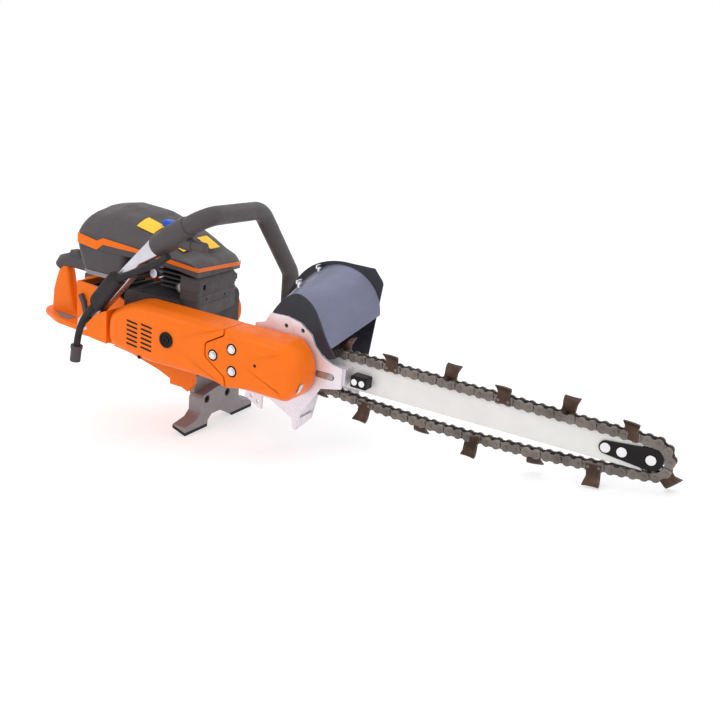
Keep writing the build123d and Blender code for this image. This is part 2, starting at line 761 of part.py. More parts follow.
cylinder_half = (35.0, 46.0)
head_z = 94.0
with BuildPart() as cylinder:
    with BuildSketch(deck(case_z[1])) as barrel:
        with Locations((crank_x, 0)):
            Circle(bore_radius + 5)
    extrude(barrel.sketch, amount=head_z - case_z[1])
    for level in range(7):
        with BuildSketch(deck(case_z[1] + 5 + 7 * level)) as fin:
            with Locations((crank_x, 0)):
                RectangleRounded(2 * cylinder_half[0], 2 * cylinder_half[1], 10)
        extrude(fin.sketch, amount=2.6)
    with BuildSketch(deck(case_z[1] - 1)) as bore:
        with Locations((crank_x, 0)):
            Circle(bore_radius)
    extrude(bore.sketch, amount=pin_z + 18 - case_z[1], mode=Mode.SUBTRACT)
    with BuildSketch(deck(head_z - 12)) as plug_hole:
        with Locations((crank_x, 0)):
            Circle(5)
    extrude(plug_hole.sketch, amount=14, mode=Mode.SUBTRACT)
finish(cylinder.part, "cylinder")

with BuildPart() as spark_plug:
    for low, high, radius in ((89.5, 94.3, 5 - fit), (94.3, 101, 9.0), (101, 113, 5.5)):
        with BuildSketch(deck(low)) as section:
            with Locations((crank_x, 0)):
                Circle(radius)
        extrude(section.sketch, amount=high - low)
finish(spark_plug.part, "spark_plug")

with BuildPart() as muffler:
    prism(deck(22), [(-185, -56), (-168.5, -56), (-176, 10), (-185, 10)], 48)
    block((crank_x + cylinder_half[0] + gap, -184), (-14, 4), (50, 66))
    rod((-182, -52, 56), (-214, -56, 66), 6.0)
finish(muffler.part, "muffler")

guard_outline = [(-202, -62), (-190, -74), (-172, -70), (-163, -64), (-178, 46), (-202, 50)]
guard_z = (12.0, 79.5)
with BuildPart() as muffler_guard:
    prism(deck(guard_z[0]), guard_outline, guard_z[1] - guard_z[0])
    with BuildSketch(deck(guard_z[0] - 1)) as inside:
        with BuildLine():
            Polyline(*guard_outline, close=True)
        make_face()
        offset(amount=-2.2, kind=Kind.INTERSECTION)
        with Locations((-202, -4)):
            Rectangle(10, 150)
    extrude(inside.sketch, amount=guard_z[1] - guard_z[0] - 1.2, mode=Mode.SUBTRACT)
    for y, z, radius in ((-52, 62, 5.5), (-44, 44, 2.6), (12, 46, 2.6)):
        rod((-150, y, z), (-176, y, z), radius, Mode.SUBTRACT)
    block((-230, case_x[1] + 0.5), (-100, 60), (guard_z[0] - 1, case_z[1] + 0.5), Mode.SUBTRACT)
    block((-230, crank_x + cylinder_half[0] + 0.5), (-46.5, 60), (guard_z[0] - 1, 90), Mode.SUBTRACT)
finish(muffler_guard.part, "muffler_guard")

fin_rear_x = crank_x - cylinder_half[0]
with BuildPart() as carburettor:
    block((-300.4, fin_rear_x - gap), (-12, 12), (64, 82))
    block((-292, fin_rear_x - 8), (-24, 24), (52, 83))
    disc(-280, 58, 7, -34, 34)
finish(carburettor.part, "carburettor")

# ---------------------------------------------------------------- starter side
starter_near_y = case_y[1]
starter_far_y = 84.0
starter_radius = 40.0
flywheel_radius = starter_radius - 6
rope_y = (67.0, 73.0)
with BuildPart() as flywheel:
    disc(crank_x, 0, flywheel_radius, 57, 61)
    with BuildSketch(side(69)) as fan:
        with Locations((crank_x, 0)):
            Circle(flywheel_radius)
            Circle(flywheel_radius - 3, mode=Mode.SUBTRACT)
    extrude(fan.sketch, amount=8)
    disc(crank_x, 0, 15, 61, 70)
    for blade in range(12):
        heading = radians(30.0 * blade)
        vane_plane = Plane(origin=(crank_x, 69, 0), x_dir=(cos(heading), 0, sin(heading)), z_dir=(0, -1, 0))
        with BuildSketch(vane_plane) as vane:
            with Locations((flywheel_radius - 11, 0)):
                Rectangle(18, 2)
        extrude(vane.sketch, amount=8)
    disc(crank_x, 0, crank_radius, 56, 71, Mode.SUBTRACT)
finish(flywheel.part, "flywheel")

with BuildPart() as starter_cover:
    disc(crank_x, 0, starter_radius, starter_near_y, starter_far_y)
    fillet(starter_cover.faces().sort_by(Axis.Y)[-1].edges(), 8)
    disc(crank_x, 0, starter_radius - wall, starter_near_y - 1, starter_far_y - 10, Mode.SUBTRACT)
    disc(crank_x, 0, starter_radius - 11, starter_far_y - 11, starter_far_y - wall, Mode.SUBTRACT)
    for spoke in range(12):
        angle = radians(30 * spoke)
        spot = (crank_x + 22 * cos(angle), 22 * sin(angle))
        disc(*spot, 3, starter_far_y - 4, starter_far_y + 1, Mode.SUBTRACT)
    block((crank_x - 9, crank_x + 9), (rope_y[0] - 5, rope_y[1] + 5), (starter_radius - 3, starter_radius + 5))
    block((crank_x - 4, crank_x + 4), (rope_y[0] - 1, rope_y[1] + 1), (starter_radius - 5, starter_radius + 6),
          Mode.SUBTRACT)
finish(starter_cover.part, "starter_cover")

starter_grip_z = starter_radius + 5.3
with BuildPart() as starter_handle:
    block((crank_x - 20, crank_x + 20), (rope_y[0] - 4, rope_y[1] + 4), (starter_grip_z, starter_grip_z + 12))
    fillet(starter_handle.edges(), 4)
    block((crank_x - 3, crank_x + 3), rope_y, (starter_radius - 4, starter_grip_z + 2))
finish(starter_handle.part, "starter_handle")

# ---------------------------------------------------------------- top cover and air filter
cover_lower_z = 86.0
cover_front_lip_z = 80.0
cover_side_outline = [
    (-404, cover_lower_z),
    (-404, 104),
    (-398, 122),
    (-384, 138),
    (-354, 148),
    (-298, 140),
    (-249, 127),
    (-204, 112),
    (-172, 98),
    (-162, 88),
    (-162, cover_front_lip_z),
    (-200, cover_front_lip_z + 2),
    (-300, cover_lower_z),
]
cover_plan_outline = [
    (-404, -55),
    (-390, -75),
    (-172, -75),
    (-162, -66),
    (-177, 48),
    (-192, 58),
    (-388, 58),
    (-404, 44),
]
cover_end_outline = [
    (-75, 60),
    (-75, 106),
    (-63, 119),
    (-40, 134),
    (-8, 146),
    (25, 150),
    (46, 140),
    (58, 122),
    (58, 60),
]


def hood(inset, sink):
    """The space inside three crossing outlines, each drawn in by an inset."""
    with BuildPart() as form:
        views = (
            (side(120), cover_side_outline, 240, Mode.ADD),
            (deck(40), cover_plan_outline, 140, Mode.INTERSECT),
            (front(-450), cover_end_outline, 400, Mode.INTERSECT),
        )
        for plane, points, amount, mode in views:
            with BuildSketch(plane) as view:
                with BuildLine():
                    Polyline(*points, close=True)
                make_face()
                if inset:
                    offset(amount=-inset, kind=Kind.INTERSECTION)
            extrude(view.sketch, amount=amount, mode=mode)
    return form.part.moved(Location((0, 0, -sink)))


cover_outer = hood(0, 0)
cover_inner = hood(wall, 0)
button_x = (-272.0, -238.0)
button_y = (-32.0, -14.0)
with BuildPart() as top_cover:
    add(cover_outer)
    fillet(top_cover.edges().filter_by(Axis.X).group_by(Axis.Z)[-1], 3)
    add(cover_inner, mode=Mode.SUBTRACT)
    add(cover_inner.moved(Location((0, 0, -wall - 1))), mode=Mode.SUBTRACT)
    block((button_x[0] - 0.5, button_x[1] + 0.5), (button_y[0] - 0.5, button_y[1] + 0.5), (100, 160),
          Mode.SUBTRACT)
finish(top_cover.part, "top_cover")

stripe_depth = 1.2
with BuildPart() as cover_stripe:
    slab(
        [
            (-389, 105),
            (-362, 97),
            (-349, 101),
            (-273, 101),
            (-173, 96),
            (-173, 91),
            (-273, 95),
            (-335, 96),
            (-352, 87.5),
            (-389, 91),
        ],
        -75 - stripe_depth,
        -75.05,
    )
    ahead = Plane(
        origin=(-161.9, -66, 0), x_dir=Vector(-15, 114, 0).normalized(), z_dir=Vector(114, 15, 0).normalized()
    )
    prism(ahead, [(1, 89), (113, 89), (113, 93.5), (1, 93.5)], stripe_depth)
finish(cover_stripe.part, "cover_stripe")

button_z = (118.0, 134.0)
with BuildPart() as decompression_valve:
    block(button_x, button_y, button_z)
    fillet(decompression_valve.faces().sort_by(Axis.Z)[-1].edges(), 3)
finish(decompression_valve.part, "decompression_valve")

housing_x = (-392.0, -300.0)
housing_y = (-73.0, 56.0)
housing_z = (51.0, cover_lower_z - gap)
with BuildPart() as filter_housing:
    with BuildSketch(deck(housing_z[0])) as floor:
        with Locations((sum(housing_x) / 2, sum(housing_y) / 2)):
            RectangleRounded(housing_x[1] - housing_x[0] - 12, housing_y[1] - housing_y[0] - 12, 12)
    with BuildSketch(deck(housing_z[1])) as brim:
        with Locations((sum(housing_x) / 2, sum(housing_y) / 2)):
            RectangleRounded(housing_x[1] - housing_x[0], housing_y[1] - housing_y[0], 16)
    loft([floor.sketch, brim.sketch])
    block((housing_x[0] + 12, housing_x[1] - 10), (housing_y[0] + 10, housing_y[1] - 10),
          (housing_z[0] + 3, housing_z[1] + 1), Mode.SUBTRACT)
finish(filter_housing.part, "filter_housing")

tray_z = (44.0, 50.9)
with BuildPart() as filter_tray:
    with BuildSketch(deck(tray_z[0])) as tray:
        with Locations((sum(housing_x) / 2, sum(housing_y) / 2)):
            RectangleRounded(housing_x[1] - housing_x[0] - 14, housing_y[1] - housing_y[0] - 14, 10)
    extrude(tray.sketch, amount=tray_z[1] - tray_z[0])
finish(filter_tray.part, "filter_tray")

with BuildPart() as air_filter:
    block((-378, -314), (-60, 42), (housing_z[0] + 3.3, 112))
    for pleat in range(9):
        x = -374 + 7 * pleat
        block((x, x + 2.4), (-61, 43), (housing_z[0] + 12, 104), Mode.SUBTRACT)
finish(air_filter.part, "air_filter")

# ================================================================ rear handle, tank and frame
tank_y = (-60.0, 62.0)
rail_y = ((-64.0, -54.0), (44.0, 54.0))
rail_end_x = -196.5
rail_tips = (-175.0, -184.0)
fuel_cap_x = -370.0
fuel_cap_z = -30.0
fuel_neck_radius = 12.0
choke_x = -391.0
choke_z = -4.0
with BuildPart() as tank_housing:
    slab([(-409, 25), (-336, 22), (-316, 14), (-292, 14), (-292, -49), (-330, -60), (-409, -60)], *tank_y)
    slab([(-405, -12), (-296, -12), (-296, -46), (-331, -56), (-405, -56)], tank_y[0] + 4, tank_y[1] - 4,
         Mode.SUBTRACT)
    block((-405, -296), (tank_y[0] + 4, tank_y[1] - 4), (-8, 30), Mode.SUBTRACT)
    disc(fuel_cap_x, fuel_cap_z, fuel_neck_radius + fit, tank_y[1] - 6, tank_y[1] + 1, Mode.SUBTRACT)
    disc(choke_x, choke_z, 3 + fit, tank_y[0] - 1, tank_y[0] + 6, Mode.SUBTRACT)
    slab([(-281, -31), (-281, 18), (-300, 10), (-322, -12), (-310, -29)], -129, tank_y[0])
    slab([(-284, -27), (-284, 12), (-300, 5), (-317, -12), (-307, -25)], -126, tank_y[0] - 4, Mode.SUBTRACT)
    block((case_x[0] - gap, -270), (case_y[0] - gap, -59), (-60, 30), Mode.SUBTRACT)
    for (near, far), tip_x in zip(rail_y, rail_tips):
        slab([(-300, -50), (-330, -60), (-292, -64), (-239, -76), (tip_x - 8, -96), (tip_x, -84),
              (tip_x, -49.5)], near, far)
    block((-300, -158), (rail_y[0][0], rail_y[1][1]), (-54, -49.5))
    block((rail_end_x - 20, rail_end_x), (rail_y[0][0], rail_y[1][1]), (-92, -49.5))
    block((rail_end_x - 17, rail_end_x - 3), (rail_y[0][0] + 4, rail_y[1][1] - 4), (-89, -54), Mode.SUBTRACT)
finish(tank_housing.part, "tank_housing")

handle_half_width = 17.0
handle_post = [
    (-518, -53),
    (-513, 8),
    (-505, 24),
    (-478, 20),
    (-470, -6),
    (-462, -30),
    (-452, -53),
]
with BuildPart() as rear_handle:
    slab(handle_post, -handle_half_width, handle_half_width)
    fillet(rear_handle.faces().sort_by(Axis.Y)[0].edges() + rear_handle.faces().sort_by(Axis.Y)[-1].edges(), 5)
    prism(deck(-60), [(-409, -52), (-500, -34), (-530, -20), (-537, 0), (-530, 20), (-500, 34), (-409, 52)], 8)
    slab([(-409.3, -60), (-409.3, 25), (-418, 25), (-418, -45), (-426, -53)], -40, 40)
finish(rear_handle.part, "rear_handle")

trigger_pivot = (-426.0, 28.0)
lockout_pivot = (-460.0, 37.0)
pivot_radius = 1.6
with BuildPart() as rear_grip:
    slab([(-507, 24.3), (-500, 38), (-486, 45), (-432, 43), (-406, 50), (-396, 50), (-396, 40), (-404, 25.4),
          (-420, 25.4), (-440, 22), (-478, 20.6)], -handle_half_width, handle_half_width)
    grip_sides = rear_grip.faces().sort_by(Axis.Y)
    fillet(grip_sides[0].edges() + grip_sides[-1].edges(), 4)
    block((-453, -420), (-6, 6), (10, 36), Mode.SUBTRACT)
    block((-486, -456), (-7, 7), (34, 60), Mode.SUBTRACT)
    for x, z in (trigger_pivot, lockout_pivot):
        disc(x, z, pivot_radius + fit, -10, 10, Mode.SUBTRACT)
finish(rear_grip.part, "rear_grip")

with BuildPart() as throttle_trigger:
    slab([(-448, 20), (-430, 32), (-423, 32), (-422, 24), (-428, 12), (-438, 7), (-449, 9)], -5.7, 5.7)
    disc(*trigger_pivot, pivot_radius, -9.5, 9.5)
finish(throttle_trigger.part, "throttle_trigger")

with BuildPart() as throttle_lockout:
    slab([(-482, 44), (-478, 53), (-466, 54), (-457, 41), (-457.5, 35), (-462, 35), (-478, 39)], -6.7, 6.7)
    disc(*lockout_pivot, pivot_radius, -9.5, 9.5)
finish(throttle_lockout.part, "throttle_lockout")

with BuildPart() as choke_lever:
    slab([(-401, 5), (-395, 8), (-389, -2), (-384, -22), (-390, -24), (-394, -8)], -66, tank_y[0] - gap)
    disc(choke_x, choke_z, 3, tank_y[0] - 1, tank_y[0] + 4.5)
finish(choke_lever.part, "choke_lever")

with BuildPart() as fuel_cap:
    disc(fuel_cap_x, fuel_cap_z, 17, tank_y[1] + gap, tank_y[1] + 9)
    disc(fuel_cap_x, fuel_cap_z, fuel_neck_radius, tank_y[1] - 5, tank_y[1] + 1)
    block((fuel_cap_x - 14, fuel_cap_x + 14), (tank_y[1] + 8, tank_y[1] + 13),
          (fuel_cap_z - 2.5, fuel_cap_z + 2.5))
finish(fuel_cap.part, "fuel_cap")

# ================================================================ foot
pad_thickness = 5.0
foot_back_x = foot_front_x - foot_depth
sole_rise = foot_depth * tan(radians(foot_rake))
foot_top_z = -81.0
foot_screw_spots = ((-33, -113), (16, -115))
pad_inner_y = foot_half_width - foot_pad_width
sole_width = (-foot_half_width - 8, foot_half_width + 8)
foot_outline = [
    (-foot_half_width, foot_bottom_z),
    (-pad_inner_y, foot_bottom_z),
    (-29, -147),
    (-20, -140),
    (5, -140),
    (pad_inner_y, foot_bottom_z),
    (foot_half_width, foot_bottom_z),
    (foot_half_width, -145),
    (56, -140),
    (46, -131),
    (46, -111),
    (42, -105),
    (9, -99),
    (-9, -99),
    (-42, -105),
    (-46, -111),
    (-46, -131),
    (-56, -140),
    (-foot_half_width, -145),
]


def under_sole(lift):
    """Side outline of everything below the raked sole, raised by a lift."""
    low = foot_bottom_z - 30
    return [
        (foot_front_x + 1, foot_bottom_z + lift - sole_rise / foot_depth),
        (foot_back_x - 1, foot_bottom_z + lift + sole_rise * (1 + 1 / foot_depth)),
        (foot_back_x - 1, low),
        (foot_front_x + 1, low),
    ]


with BuildPart() as foot:
    prism(front(foot_back_x), foot_outline, foot_depth)
    block((rail_end_x + gap, foot_back_x + 6), (-42, 42), (-108, foot_top_z))
    slab(under_sole(pad_thickness + fit), *sole_width, Mode.SUBTRACT)
    for y, z in foot_screw_spots:
        rod((foot_front_x + 1, y, z), (foot_front_x - 4, y, z), 6, Mode.SUBTRACT)
        rod((foot_front_x, y, z), (foot_back_x - 5, y, z), 3 + fit, Mode.SUBTRACT)
finish(foot.part, "foot")

with BuildPart() as foot_pads:
    for near in (-foot_half_width, foot_half_width - foot_pad_width):
        block((foot_back_x, foot_front_x), (near, near + foot_pad_width), (foot_bottom_z, foot_bottom_z + 16))
    slab(under_sole(0), *sole_width, Mode.SUBTRACT)
    slab([(x, 2 * (foot_bottom_z + pad_thickness) - z) if z < foot_bottom_z - 20 else (x, z)
          for x, z in under_sole(pad_thickness)], *sole_width, Mode.SUBTRACT)
finish(foot_pads.part, "foot_pads")

with BuildPart() as foot_screws:
    for y, z in foot_screw_spots:
        rod((foot_front_x - 0.6, y, z), (foot_front_x - 3.9, y, z), 5.0)
        rod((foot_front_x - 1, y, z), (foot_back_x - 2, y, z), 3.0)
        rod((foot_front_x + 0.1, y, z), (foot_front_x - 3, y, z), 2.5, Mode.SUBTRACT)
finish(foot_screws.part, "foot_screws")

# ================================================================ front handle
handle_start = (-197.0, -113.0, 128.0)
handle_path = [
    handle_start,
    (-128, -113, 176),
    (-136, 27, 170.5),
    (-136, 117, 64),
    (-136, 119, -67.3),
    (-168, 40, -67.3),
]
handle_bends = [28, 40, 25, 30]
tube_wall = 3.0
climb = (Vector(*handle_path[1]) - Vector(*handle_start)).normalized()
with BuildPart() as front_handle:
    add(pipe(handle_path, handle_bends, tube_radius))
    add(pipe(handle_path, handle_bends, tube_radius - tube_wall), mode=Mode.SUBTRACT)
finish(front_handle.part, "front_handle")


def along(distance):
    """A point on the handle's first straight run."""
    return tuple(Vector(*handle_start) + climb * distance)


sleeve_radius = 17.0
valve_z = 136.0
with BuildPart() as handle_sleeve:
    rod(along(-4), along(50), sleeve_radius)
    block((-180, -152), (-134, -106), (122.3, 146))
    rod(along(-5), along(60), tube_radius + fit, Mode.SUBTRACT)
    rod((-160, -113, valve_z), (-140, -113, valve_z), 3 + fit, Mode.SUBTRACT)
finish(handle_sleeve.part, "handle_sleeve")

with BuildPart() as valve_knob:
    rod((-143, -113, valve_z), (-122, -113, valve_z), 6.8)
    rod((-142, -113, valve_z), (-157, -113, valve_z), 3.0)
finish(valve_knob.part, "valve_knob")

with BuildPart() as handle_strut:
    slab([(-193.3, 114.6), (-229, 94), (-249, 66), (-292, 19), (-300.2, 10.4), (-322.2, -11.6), (-338, -27),
          (-346, -20), (-344, -9), (-305, 32), (-259, 84), (-208.2, 136.0)], *strut_y)
finish(handle_strut.part, "handle_strut")

# ================================================================ water hose
clipped_route = ((-172, 117.9), (-188, 106), (-222, 88), (-262, 68.4), (-305.8, 20.2))
free_route = ((-306, 20), (-321, 3.5), (-331, -15), (-337, -33), (-339, -47))
hose_clipped = [(x, hose_y, z) for x, z in clipped_route]
hose_free = [(x, hose_y, z) for x, z in free_route]
clipped_radii = bend_radii(hose_clipped)
with BuildPart() as water_hose:
    add(pipe(hose_clipped, clipped_radii, hose_radius))
finish(water_hose.part, "water_hose")

with BuildPart() as hose_guard:
    slab([(-253.6, 62.9), (-270.4, 77.1), (-312.4, 28.6), (-295.6, 14.4)], -136.5, strut_y[0] - gap)
    chamfer(hose_guard.faces().sort_by(Axis.Y)[0].edges(), 3)
    add(pipe(hose_clipped, clipped_radii, hose_radius + fit), mode=Mode.SUBTRACT)
    block((-330, -305), (-140, -120), (0, 40), Mode.SUBTRACT)
finish(hose_guard.part, "hose_guard")

free_radii = bend_radii(hose_free)
print("hose_tail bend radii in mm", [round(value, 1) for value in free_radii])
with BuildPart() as hose_tail:
    add(pipe(hose_free, free_radii, hose_radius))
finish(hose_tail.part, "hose_tail")

coupling_top = (-339.05, hose_y, -47.3)
coupling_end = (-342.6, hose_y, -72.0)
coupling_axis = (Vector(*coupling_end) - Vector(*coupling_top)).normalized()
with BuildPart() as hose_connector:
    rod(coupling_top, coupling_end, 7.8)
    rod(coupling_top, tuple(Vector(*coupling_top) + coupling_axis * 5), 8.8)
    rod(tuple(Vector(*coupling_top) + coupling_axis * 8), tuple(Vector(*coupling_end) + coupling_axis), 4.5,
        Mode.SUBTRACT)
finish(hose_connector.part, "hose_connector")
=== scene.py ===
"""Looks of a handheld chain trencher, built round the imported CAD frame.

Shapes are given in the machine's own axes, in millimetres: x forwards from the cutting
spindle, y towards the starter side, z up and square to the bar. at() turns such a point
into the row frame, where the machine stands tipped forward on its foot and nose.
"""

import json
from math import atan, cos, pi, radians, sin

import bmesh
import bpy
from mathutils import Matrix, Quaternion, Vector


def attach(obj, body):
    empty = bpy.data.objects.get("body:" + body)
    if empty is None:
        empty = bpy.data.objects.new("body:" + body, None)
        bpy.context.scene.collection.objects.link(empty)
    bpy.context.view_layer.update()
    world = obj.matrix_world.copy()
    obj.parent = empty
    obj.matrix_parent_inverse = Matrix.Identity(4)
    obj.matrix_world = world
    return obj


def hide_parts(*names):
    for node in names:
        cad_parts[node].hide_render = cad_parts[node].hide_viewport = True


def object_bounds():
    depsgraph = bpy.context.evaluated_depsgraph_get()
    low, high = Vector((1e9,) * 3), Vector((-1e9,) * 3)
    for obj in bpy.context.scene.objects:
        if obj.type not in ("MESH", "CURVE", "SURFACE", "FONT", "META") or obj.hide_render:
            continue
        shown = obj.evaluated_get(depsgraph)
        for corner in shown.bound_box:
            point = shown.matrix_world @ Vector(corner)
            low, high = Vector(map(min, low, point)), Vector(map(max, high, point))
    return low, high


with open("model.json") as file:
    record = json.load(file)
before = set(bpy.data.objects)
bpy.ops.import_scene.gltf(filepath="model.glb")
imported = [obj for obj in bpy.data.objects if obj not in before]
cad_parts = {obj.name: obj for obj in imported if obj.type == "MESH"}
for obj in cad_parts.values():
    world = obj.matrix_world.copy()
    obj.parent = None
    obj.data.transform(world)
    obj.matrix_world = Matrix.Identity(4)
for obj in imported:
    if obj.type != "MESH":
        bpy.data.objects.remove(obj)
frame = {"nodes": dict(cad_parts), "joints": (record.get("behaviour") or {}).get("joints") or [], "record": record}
cad_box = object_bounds()
nodes = frame["nodes"]
joints = {joint["name"]: joint for joint in frame["joints"]}

# ---------------------------------------------------------------- the machine's own axes
SPINDLE = Vector(joints["spindle_spin"]["pos_m"])
AHEAD = (SPINDLE - Vector(joints["crank_spin"]["pos_m"])).normalized()
ACROSS = Vector((0, 1, 0))
UP = AHEAD.cross(ACROSS)
MM = 0.001


def at(x, y, z):
    """A point of the machine, in millimetres, placed in the row frame."""
    return SPINDLE + (AHEAD * x + ACROSS * y + UP * z) * MM


# ---------------------------------------------------------------- materials
COAT_ROUGHNESS = 0.12
SPECULAR_LEVEL = 0.2
ROUGH_SPREAD = 0.12
WORN_EDGE = 0.0012
RELIEF_DEPTH = 0.0004


def linear(channel):
    """One display channel in linear light."""
    return channel / 12.92 if channel <= 0.04045 else ((channel + 0.055) / 1.055) ** 2.4


def rgb(code):
    """A colour from its usual six-figure code."""
    parts = [int(code[i : i + 2], 16) / 255 for i in (0, 2, 4)]
    return tuple(linear(part) for part in parts) + (1.0,)


def surface(
    name, colour, rough, metal=0.0, grain=900.0, bump=0.1, blotch=0.08, worn=None, dust=None, brushed=None, coat=0.0
):
    """A procedural finish: blotched colour, fine grain, worn edges and settled dust."""
    material = bpy.data.materials.new(name)
    material.use_nodes = True
    tree = material.node_tree
    link = tree.links.new
    shader = tree.nodes["Principled BSDF"]
    shader.inputs["Metallic"].default_value = metal
    shader.inputs["Coat Weight"].default_value = coat
    shader.inputs["Coat Roughness"].default_value = COAT_ROUGHNESS
    shader.inputs["Specular IOR Level"].default_value = SPECULAR_LEVEL
    where = tree.nodes.new("ShaderNodeTexCoord").outputs["Object"]

    def noise(scale, detail=4.0, stretch=None):
        texture = tree.nodes.new("ShaderNodeTexNoise")
        texture.inputs["Scale"].default_value = scale
        texture.inputs["Detail"].default_value = detail
        if stretch:
            mapping = tree.nodes.new("ShaderNodeMapping")
            mapping.inputs["Scale"].default_value = stretch
            link(where, mapping.inputs["Vector"])
            link(mapping.outputs["Vector"], texture.inputs["Vector"])
        else:
            link(where, texture.inputs["Vector"])
        return texture.outputs["Fac"]

    def spread(source, low, high, to_low, to_high):
        scaled = tree.nodes.new("ShaderNodeMapRange")
        for socket, value in zip(("From Min", "From Max", "To Min", "To Max"), (low, high, to_low, to_high)):
            scaled.inputs[socket].default_value = value
        link(source, scaled.inputs["Value"])
        return scaled.outputs["Result"]

    def mix(factor, first, second):
        blend = tree.nodes.new("ShaderNodeMix")
        blend.data_type = "RGBA"
        link(factor, blend.inputs["Factor"])
        for socket, value in ((blend.inputs["A"], first), (blend.inputs["B"], second)):
            if isinstance(value, tuple):
                socket.default_value = value
            else:
                link(value, socket)
        return blend.outputs["Result"]

    base = rgb(colour)
    light = tuple(min(1.0, c * (1 + blotch)) for c in base[:3]) + (1.0,)
    dark = tuple(c * (1 - blotch) for c in base[:3]) + (1.0,)
    tint = mix(spread(noise(38.0), 0.35, 0.65, 0.0, 1.0), dark, light)
    if brushed:
        lines = noise(60.0, 2.0, stretch=brushed)
        streak = tuple(c * 0.82 for c in base[:3]) + (1.0,)
        tint = mix(spread(lines, 0.45, 0.75, 0.0, 0.5), tint, streak)
    if dust:
        tint = mix(spread(noise(24.0, 6.0), 0.52, 0.78, 0.0, 0.55), tint, rgb(dust))
    if worn:
        edge = tree.nodes.new("ShaderNodeBevel")
        edge.samples = 4
        edge.inputs["Radius"].default_value = WORN_EDGE
        geometry = tree.nodes.new("ShaderNodeNewGeometry")
        dot = tree.nodes.new("ShaderNodeVectorMath")
        dot.operation = "DOT_PRODUCT"
        link(edge.outputs["Normal"], dot.inputs[0])
        link(geometry.outputs["Normal"], dot.inputs[1])
        tint = mix(spread(dot.outputs["Value"], 0.86, 0.995, 0.7, 0.0), tint, rgb(worn))
    link(tint, shader.inputs["Base Color"])
    smoothest, roughest = max(0.05, rough - ROUGH_SPREAD), min(1.0, rough + ROUGH_SPREAD)
    uneven = spread(noise(70.0, 5.0), 0.3, 0.7, smoothest, roughest)
    link(uneven, shader.inputs["Roughness"])
    relief = tree.nodes.new("ShaderNodeBump")
    relief.inputs["Strength"].default_value = bump
    relief.inputs["Distance"].default_value = RELIEF_DEPTH
    link(noise(grain, 3.0), relief.inputs["Height"])
    link(relief.outputs["Normal"], shader.inputs["Normal"])
    return material


FINISHES = {
    name: surface(name, colour, rough, **more)
    for name, colour, rough, more in (
        ("orange_plastic", "EA6C00", 0.4, dict(grain=1500, bump=0.05, blotch=0.02, coat=0.04)),
        ("orange_cast", "E26400", 0.46, dict(grain=700, bump=0.12, blotch=0.04)),
        ("dark_plastic", "4D4849", 0.5, dict(grain=2200, bump=0.2, blotch=0.04)),
        ("black_rubber", "2A2829", 0.62, dict(grain=1400, bump=0.2, blotch=0.1)),
        ("zinc_plate", "E2DCE3", 0.36, dict(metal=0.55, grain=500, bump=0.04, blotch=0.03)),
        ("steel", "A8A4A2", 0.34, dict(metal=1.0, grain=900, bump=0.08, blotch=0.1, brushed=(1.0, 12.0, 1.0))),
        ("bright_screw", "E4E2E4", 0.24, dict(metal=1.0, grain=1200, bump=0.05, blotch=0.05)),
        ("black_sheet", "2A2C33", 0.4, dict(grain=1200, bump=0.05, blotch=0.08, worn="5C606C", coat=0.15)),
        ("bar_paint", "DAD8D5", 0.4, dict(metal=0.25, grain=900, bump=0.05, blotch=0.025, worn="A8A29C")),
        ("black_oxide", "1E1C1C", 0.42, dict(metal=0.4, grain=900, bump=0.1, blotch=0.15)),
        ("chain_steel", "756D68", 0.4, dict(metal=0.8, grain=800, bump=0.12, blotch=0.2, dust="4A4038")),
        ("cutter_steel", "4C3B32", 0.38,
         dict(metal=0.75, grain=900, bump=0.12, blotch=0.3, dust="2A2220", worn="8E7E70")),
        ("cast_aluminium", "8C8688", 0.5, dict(metal=0.5, grain=650, bump=0.25, blotch=0.06)),
        ("bright_aluminium", "D3D0D8", 0.3,
         dict(metal=0.9, grain=700, bump=0.05, blotch=0.05, brushed=(1.0, 6.0, 1.0))),
        ("dark_cast", "4A4647", 0.5, dict(metal=0.3, grain=600, bump=0.35, blotch=0.12, dust="6A635C")),
        ("blue_plastic", "1E55C4", 0.35, dict(grain=1500, bump=0.06, blotch=0.05)),
        ("filter_paper", "D8CBA6", 0.85, dict(grain=600, bump=0.4, blotch=0.1)),
        ("belt_rubber", "222124", 0.7, dict(grain=900, bump=0.3, blotch=0.1)),
        # Blue-grey for the chain shield's black sheet: a painted sheen.
        ("sheet_grey", "72748A", 0.34, dict(metal=0.35, grain=1400, bump=0.03, blotch=0.03)),
        ("yellow_label", "F2C136", 0.4, dict(grain=1500, bump=0.03, blotch=0.04)),
    )
}
slot_of = {entry["node"]: entry["material_slot"] for entry in frame["record"]["subparts"]}


def paint(obj, finish):
    """Give an object one finish in place of what it had."""
    obj.data.materials.clear()
    obj.data.materials.append(FINISHES[finish])


# ---------------------------------------------------------------- softened CAD nodes
WELD_REACH = 0.00002
COMMON_ROUND = 0.4
ROUNDING = {
    "belt_cover_rear": 1.6, "belt_cover_front": 1.6, "top_cover": 3.0, "tank_housing": 1.2, "rear_handle": 1.5,
    "rear_grip": 2.5, "foot": 1.6, "muffler_guard": 1.2, "filter_housing": 1.2, "starter_cover": 1.0,
    "handle_strut": 1.5, "hose_guard": 2.0, "choke_lever": 1.2, "decompression_valve": 1.2, "throttle_lockout": 1.2,
    "throttle_trigger": 1.0, "fuel_cap": 1.0, "starter_handle": 1.0, "handle_sleeve": 1.0, "valve_knob": 1.2,
}


